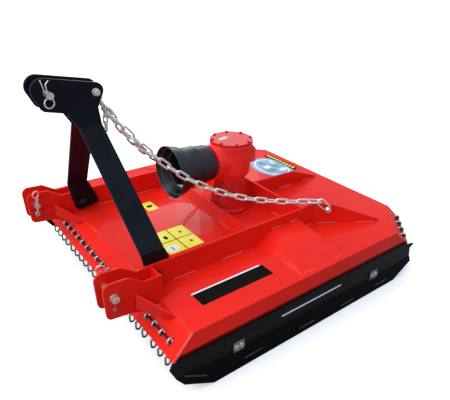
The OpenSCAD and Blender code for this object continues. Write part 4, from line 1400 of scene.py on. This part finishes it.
@dataclass
class Skids(Assembly):
    """Bolted skids under the side walls."""

    face: float = 677.0
    bolts: tuple[tuple[float, float], ...] = ((190, 122), (214, 122), (995, 112), (1019, 112))
    shoe: tuple[tuple[float, float], ...] = ((-71, 117), (-39.5, 74.5), (90.5, 1), (1191, 1), (1312, 70), (1294, 106),
                                             (1165, 88), (528, 100), (70, 103), (20, 122))
    shoe_t: float = 2.2

    def build(self) -> None:
        """Dress the skids and add washers, welds and the white line."""
        self.fit(self.bench.eased_copy("skids", 0.0012), Body.DECK, SKID_BLACK, Slot.BLACK_PAINT, "skids")
        self.keep("skid_bolts", YELLOW_ZINC)
        for side in Side:
            s, tag = side.value, side.name.lower()
            out = Vector((s, 0, 0))
            # The lower band of the skid is darker than the rest as painted shade.
            shoe = self.bench.film(f"skid_shoe_{tag}", [at(self.face * s, y, z) for y, z in self.shoe],
                                   out * self.shoe_t * MM, 0.003)
            self.bench.ease(shoe, 0.0008, 1, 40.0)
            self.fit(shoe, Body.DECK, SHOE_BLACK_PAINTED_SHADE, Slot.BLACK_PAINT)
            plates = []
            for front, rear in zip(self.bolts[::2], self.bolts[1::2]):
                middle = ((front[0] + rear[0]) / 2, front[1])
                corners = [(-27, -25), (27, -25), (27, 25), (-27, 25)]
                plate = self.bench.film("bolt_plate", [at(self.face * s, middle[0] + y, middle[1] + z)
                                                       for y, z in corners], out * 0.003, 0.008)
                self.bench.ease(plate, 0.0006, 1, 40.0)
                plates.append(plate)
            self.fit(self.bench.joined(f"skid_bolt_plates_{tag}", plates), Body.DECK, HANGING_STEEL, Slot.ZINC)
            rings = [self.bench.washer("skid_washer", at((self.face + 3) * s, y, z), out, 0.0118, 0.0062, 0.002)
                     for y, z in self.bolts]
            self.fit(self.bench.joined(f"skid_washers_{tag}", rings), Body.DECK, ZINC, Slot.ZINC)
            x = (self.face + self.shoe_t) * s
            beads = [self.bench.weld("skid_weld", at(x, y, z), at(x, y + 95, z - fall), 0.003)
                     for y, z, fall in ((232, 42, 0), (530, 33, 0), (790, 29, 0), (1034, 36, 0), (-40, 118, 56))]
            self.fit(self.bench.joined(f"skid_welds_{tag}", beads), Body.DECK, SHOE_WELD, Slot.BLACK_PAINT)
            line = [at(self.face * s, y, z) for y, z in ((421, 149), (773, 149), (773, 157), (421, 157))]
            film = self.bench.film(f"skid_line_{tag}", line, out * 0.0005)
            self.fit(film, Body.DECK, STICKER_WHITE, Slot.BLACK_PAINT)


@dataclass
class Studio:
    """Pale floor, soft lights and the camera."""

    place: tuple[float, float, float] = (1.70041, -1.26292, 1.42532)
    right: tuple[float, float, float] = (0.6002313621, 0.7995158028, 0.0222888513)
    up: tuple[float, float, float] = (-0.3776964332, 0.2587686987, 0.8890355251)
    back: tuple[float, float, float] = (0.7050302946, -0.5420454239, 0.4572953555)
    lens: float = 38.016
    sensor: float = 36.0
    floor_size: float = 40.0

    def build(self) -> None:
        """Set up floor, world, lights and camera."""
        self._floor()
        self._world()
        self._sun((-0.30, -0.55, 1.0), 1.52, 55.0)
        self._light("rear", (-2.72, 2.0, 1.75), (-0.2, 0.3, 0.3), 1.3, 8.5)
        self._light("side", (-2.55, 0.98, 1.99), (0.0, -0.37, 0.29), 0.95, 8.5)
        self._light("front", (0.6, -3.5, 1.5), (0.0, -0.2, 0.4), 1.6, 20.0)
        self._light("spark", (1.0, -2.8, 2.3), (0.0, 0.0, 0.5), 0.4, 9.0)
        data = bpy.data.cameras.new("photo_view")
        data.sensor_width, data.lens = self.sensor, self.lens
        camera = bpy.data.objects.new("photo_view", data)
        turn = Matrix((self.right, self.up, self.back)).transposed()
        camera.matrix_world = Matrix.Translation(self.place) @ turn.to_4x4()
        bpy.context.scene.collection.objects.link(camera)
        bpy.context.scene.camera = camera

    def _floor(self) -> None:
        """Lay a plain pale floor."""
        Bench.clear()
        bpy.ops.mesh.primitive_grid_add(x_subdivisions=8, y_subdivisions=8, size=self.floor_size, location=(0, 0, 0))
        floor = Bench.named("studio_floor")
        material = bpy.data.materials.new("pale floor")
        material.use_nodes = True
        sheet = Sheet(material.node_tree)
        shader = material.node_tree.nodes["Principled BSDF"]
        seen = sheet.add("ShaderNodeLightPath").outputs["Is Camera Ray"]
        colour = sheet.mix(seen, (0.30, 0.30, 0.30, 1.0), (0.94, 0.94, 0.94, 1.0))
        glow = sheet.mix(seen, (0.0, 0.0, 0.0, 1.0), (0.34, 0.34, 0.34, 1.0))
        material.node_tree.links.new(colour, shader.inputs["Base Color"])
        material.node_tree.links.new(glow, shader.inputs["Emission Color"])
        shader.inputs["Emission Strength"].default_value = 1.0
        shader.inputs["Roughness"].default_value = 0.9
        floor.data.materials.append(material)

    @staticmethod
    def _world() -> None:
        """Light the scene from a sky that is dim low down, and show plain white behind everything."""
        world = bpy.data.worlds.new("soft sky")
        world.use_nodes = True
        sheet = Sheet(world.node_tree)
        sky = world.node_tree.nodes["Background"]
        way = sheet.add("ShaderNodeSeparateXYZ", {0: sheet.add("ShaderNodeTexCoord").outputs["Generated"]})
        high = sheet.span(way.outputs[2], 0.05, 0.85)
        colour = sheet.mix(high, (0.42, 0.44, 0.48, 1.0), (0.70, 0.78, 0.94, 1.0))
        seen = sheet.add("ShaderNodeLightPath").outputs["Is Camera Ray"]
        world.node_tree.links.new(sheet.mix(seen, colour, (1.0, 1.0, 1.0, 1.0)), sky.inputs[0])
        bpy.context.scene.world = world
        bpy.context.scene.view_settings.view_transform = "Standard"

    @staticmethod
    def _sun(way: Point, power: float, angle: float) -> None:
        """Hang the wide sun that gives the soft shadows.

        Args:
            way: direction towards it.
            power: its strength.
            angle: how wide it is in degrees.
        """
        data = bpy.data.lights.new("sun", "SUN")
        data.energy, data.angle = power, math.radians(angle)
        light = bpy.data.objects.new("sun", data)
        light.rotation_euler = Vector(way).to_track_quat("Z", "Y").to_euler()
        bpy.context.scene.collection.objects.link(light)

    @staticmethod
    def _light(name: str, place: Point, target: Point, size: float, power: float) -> None:
        """Hang a square soft light.

        Args:
            name: name of the light.
            place: where it hangs.
            target: what it looks at.
            size: its side in metres.
            power: its power in watts.
        """
        data = bpy.data.lights.new(name, "AREA")
        data.size, data.energy = size, power
        light = bpy.data.objects.new(name, data)
        light.location = place
        light.rotation_euler = (Vector(target) - Vector(place)).to_track_quat("-Z", "Y").to_euler()
        bpy.context.scene.collection.objects.link(light)


def main() -> None:
    """Build every assembly in order and report its pieces."""
    logging.basicConfig(level=logging.INFO, format="%(name)s %(message)s")
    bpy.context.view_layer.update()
    bench, shop = Bench(), Paintshop()
    for kind in (Deck, GuardChains, StayChains, Hitch, Mast, Anchors, Gearbox, Driveline, Rotor, Skids):
        assembly = kind(bench, shop)
        assembly.build()
        assembly.report()
    bench.clear()
    Studio().build()


if __name__ == "__main__":
    main()
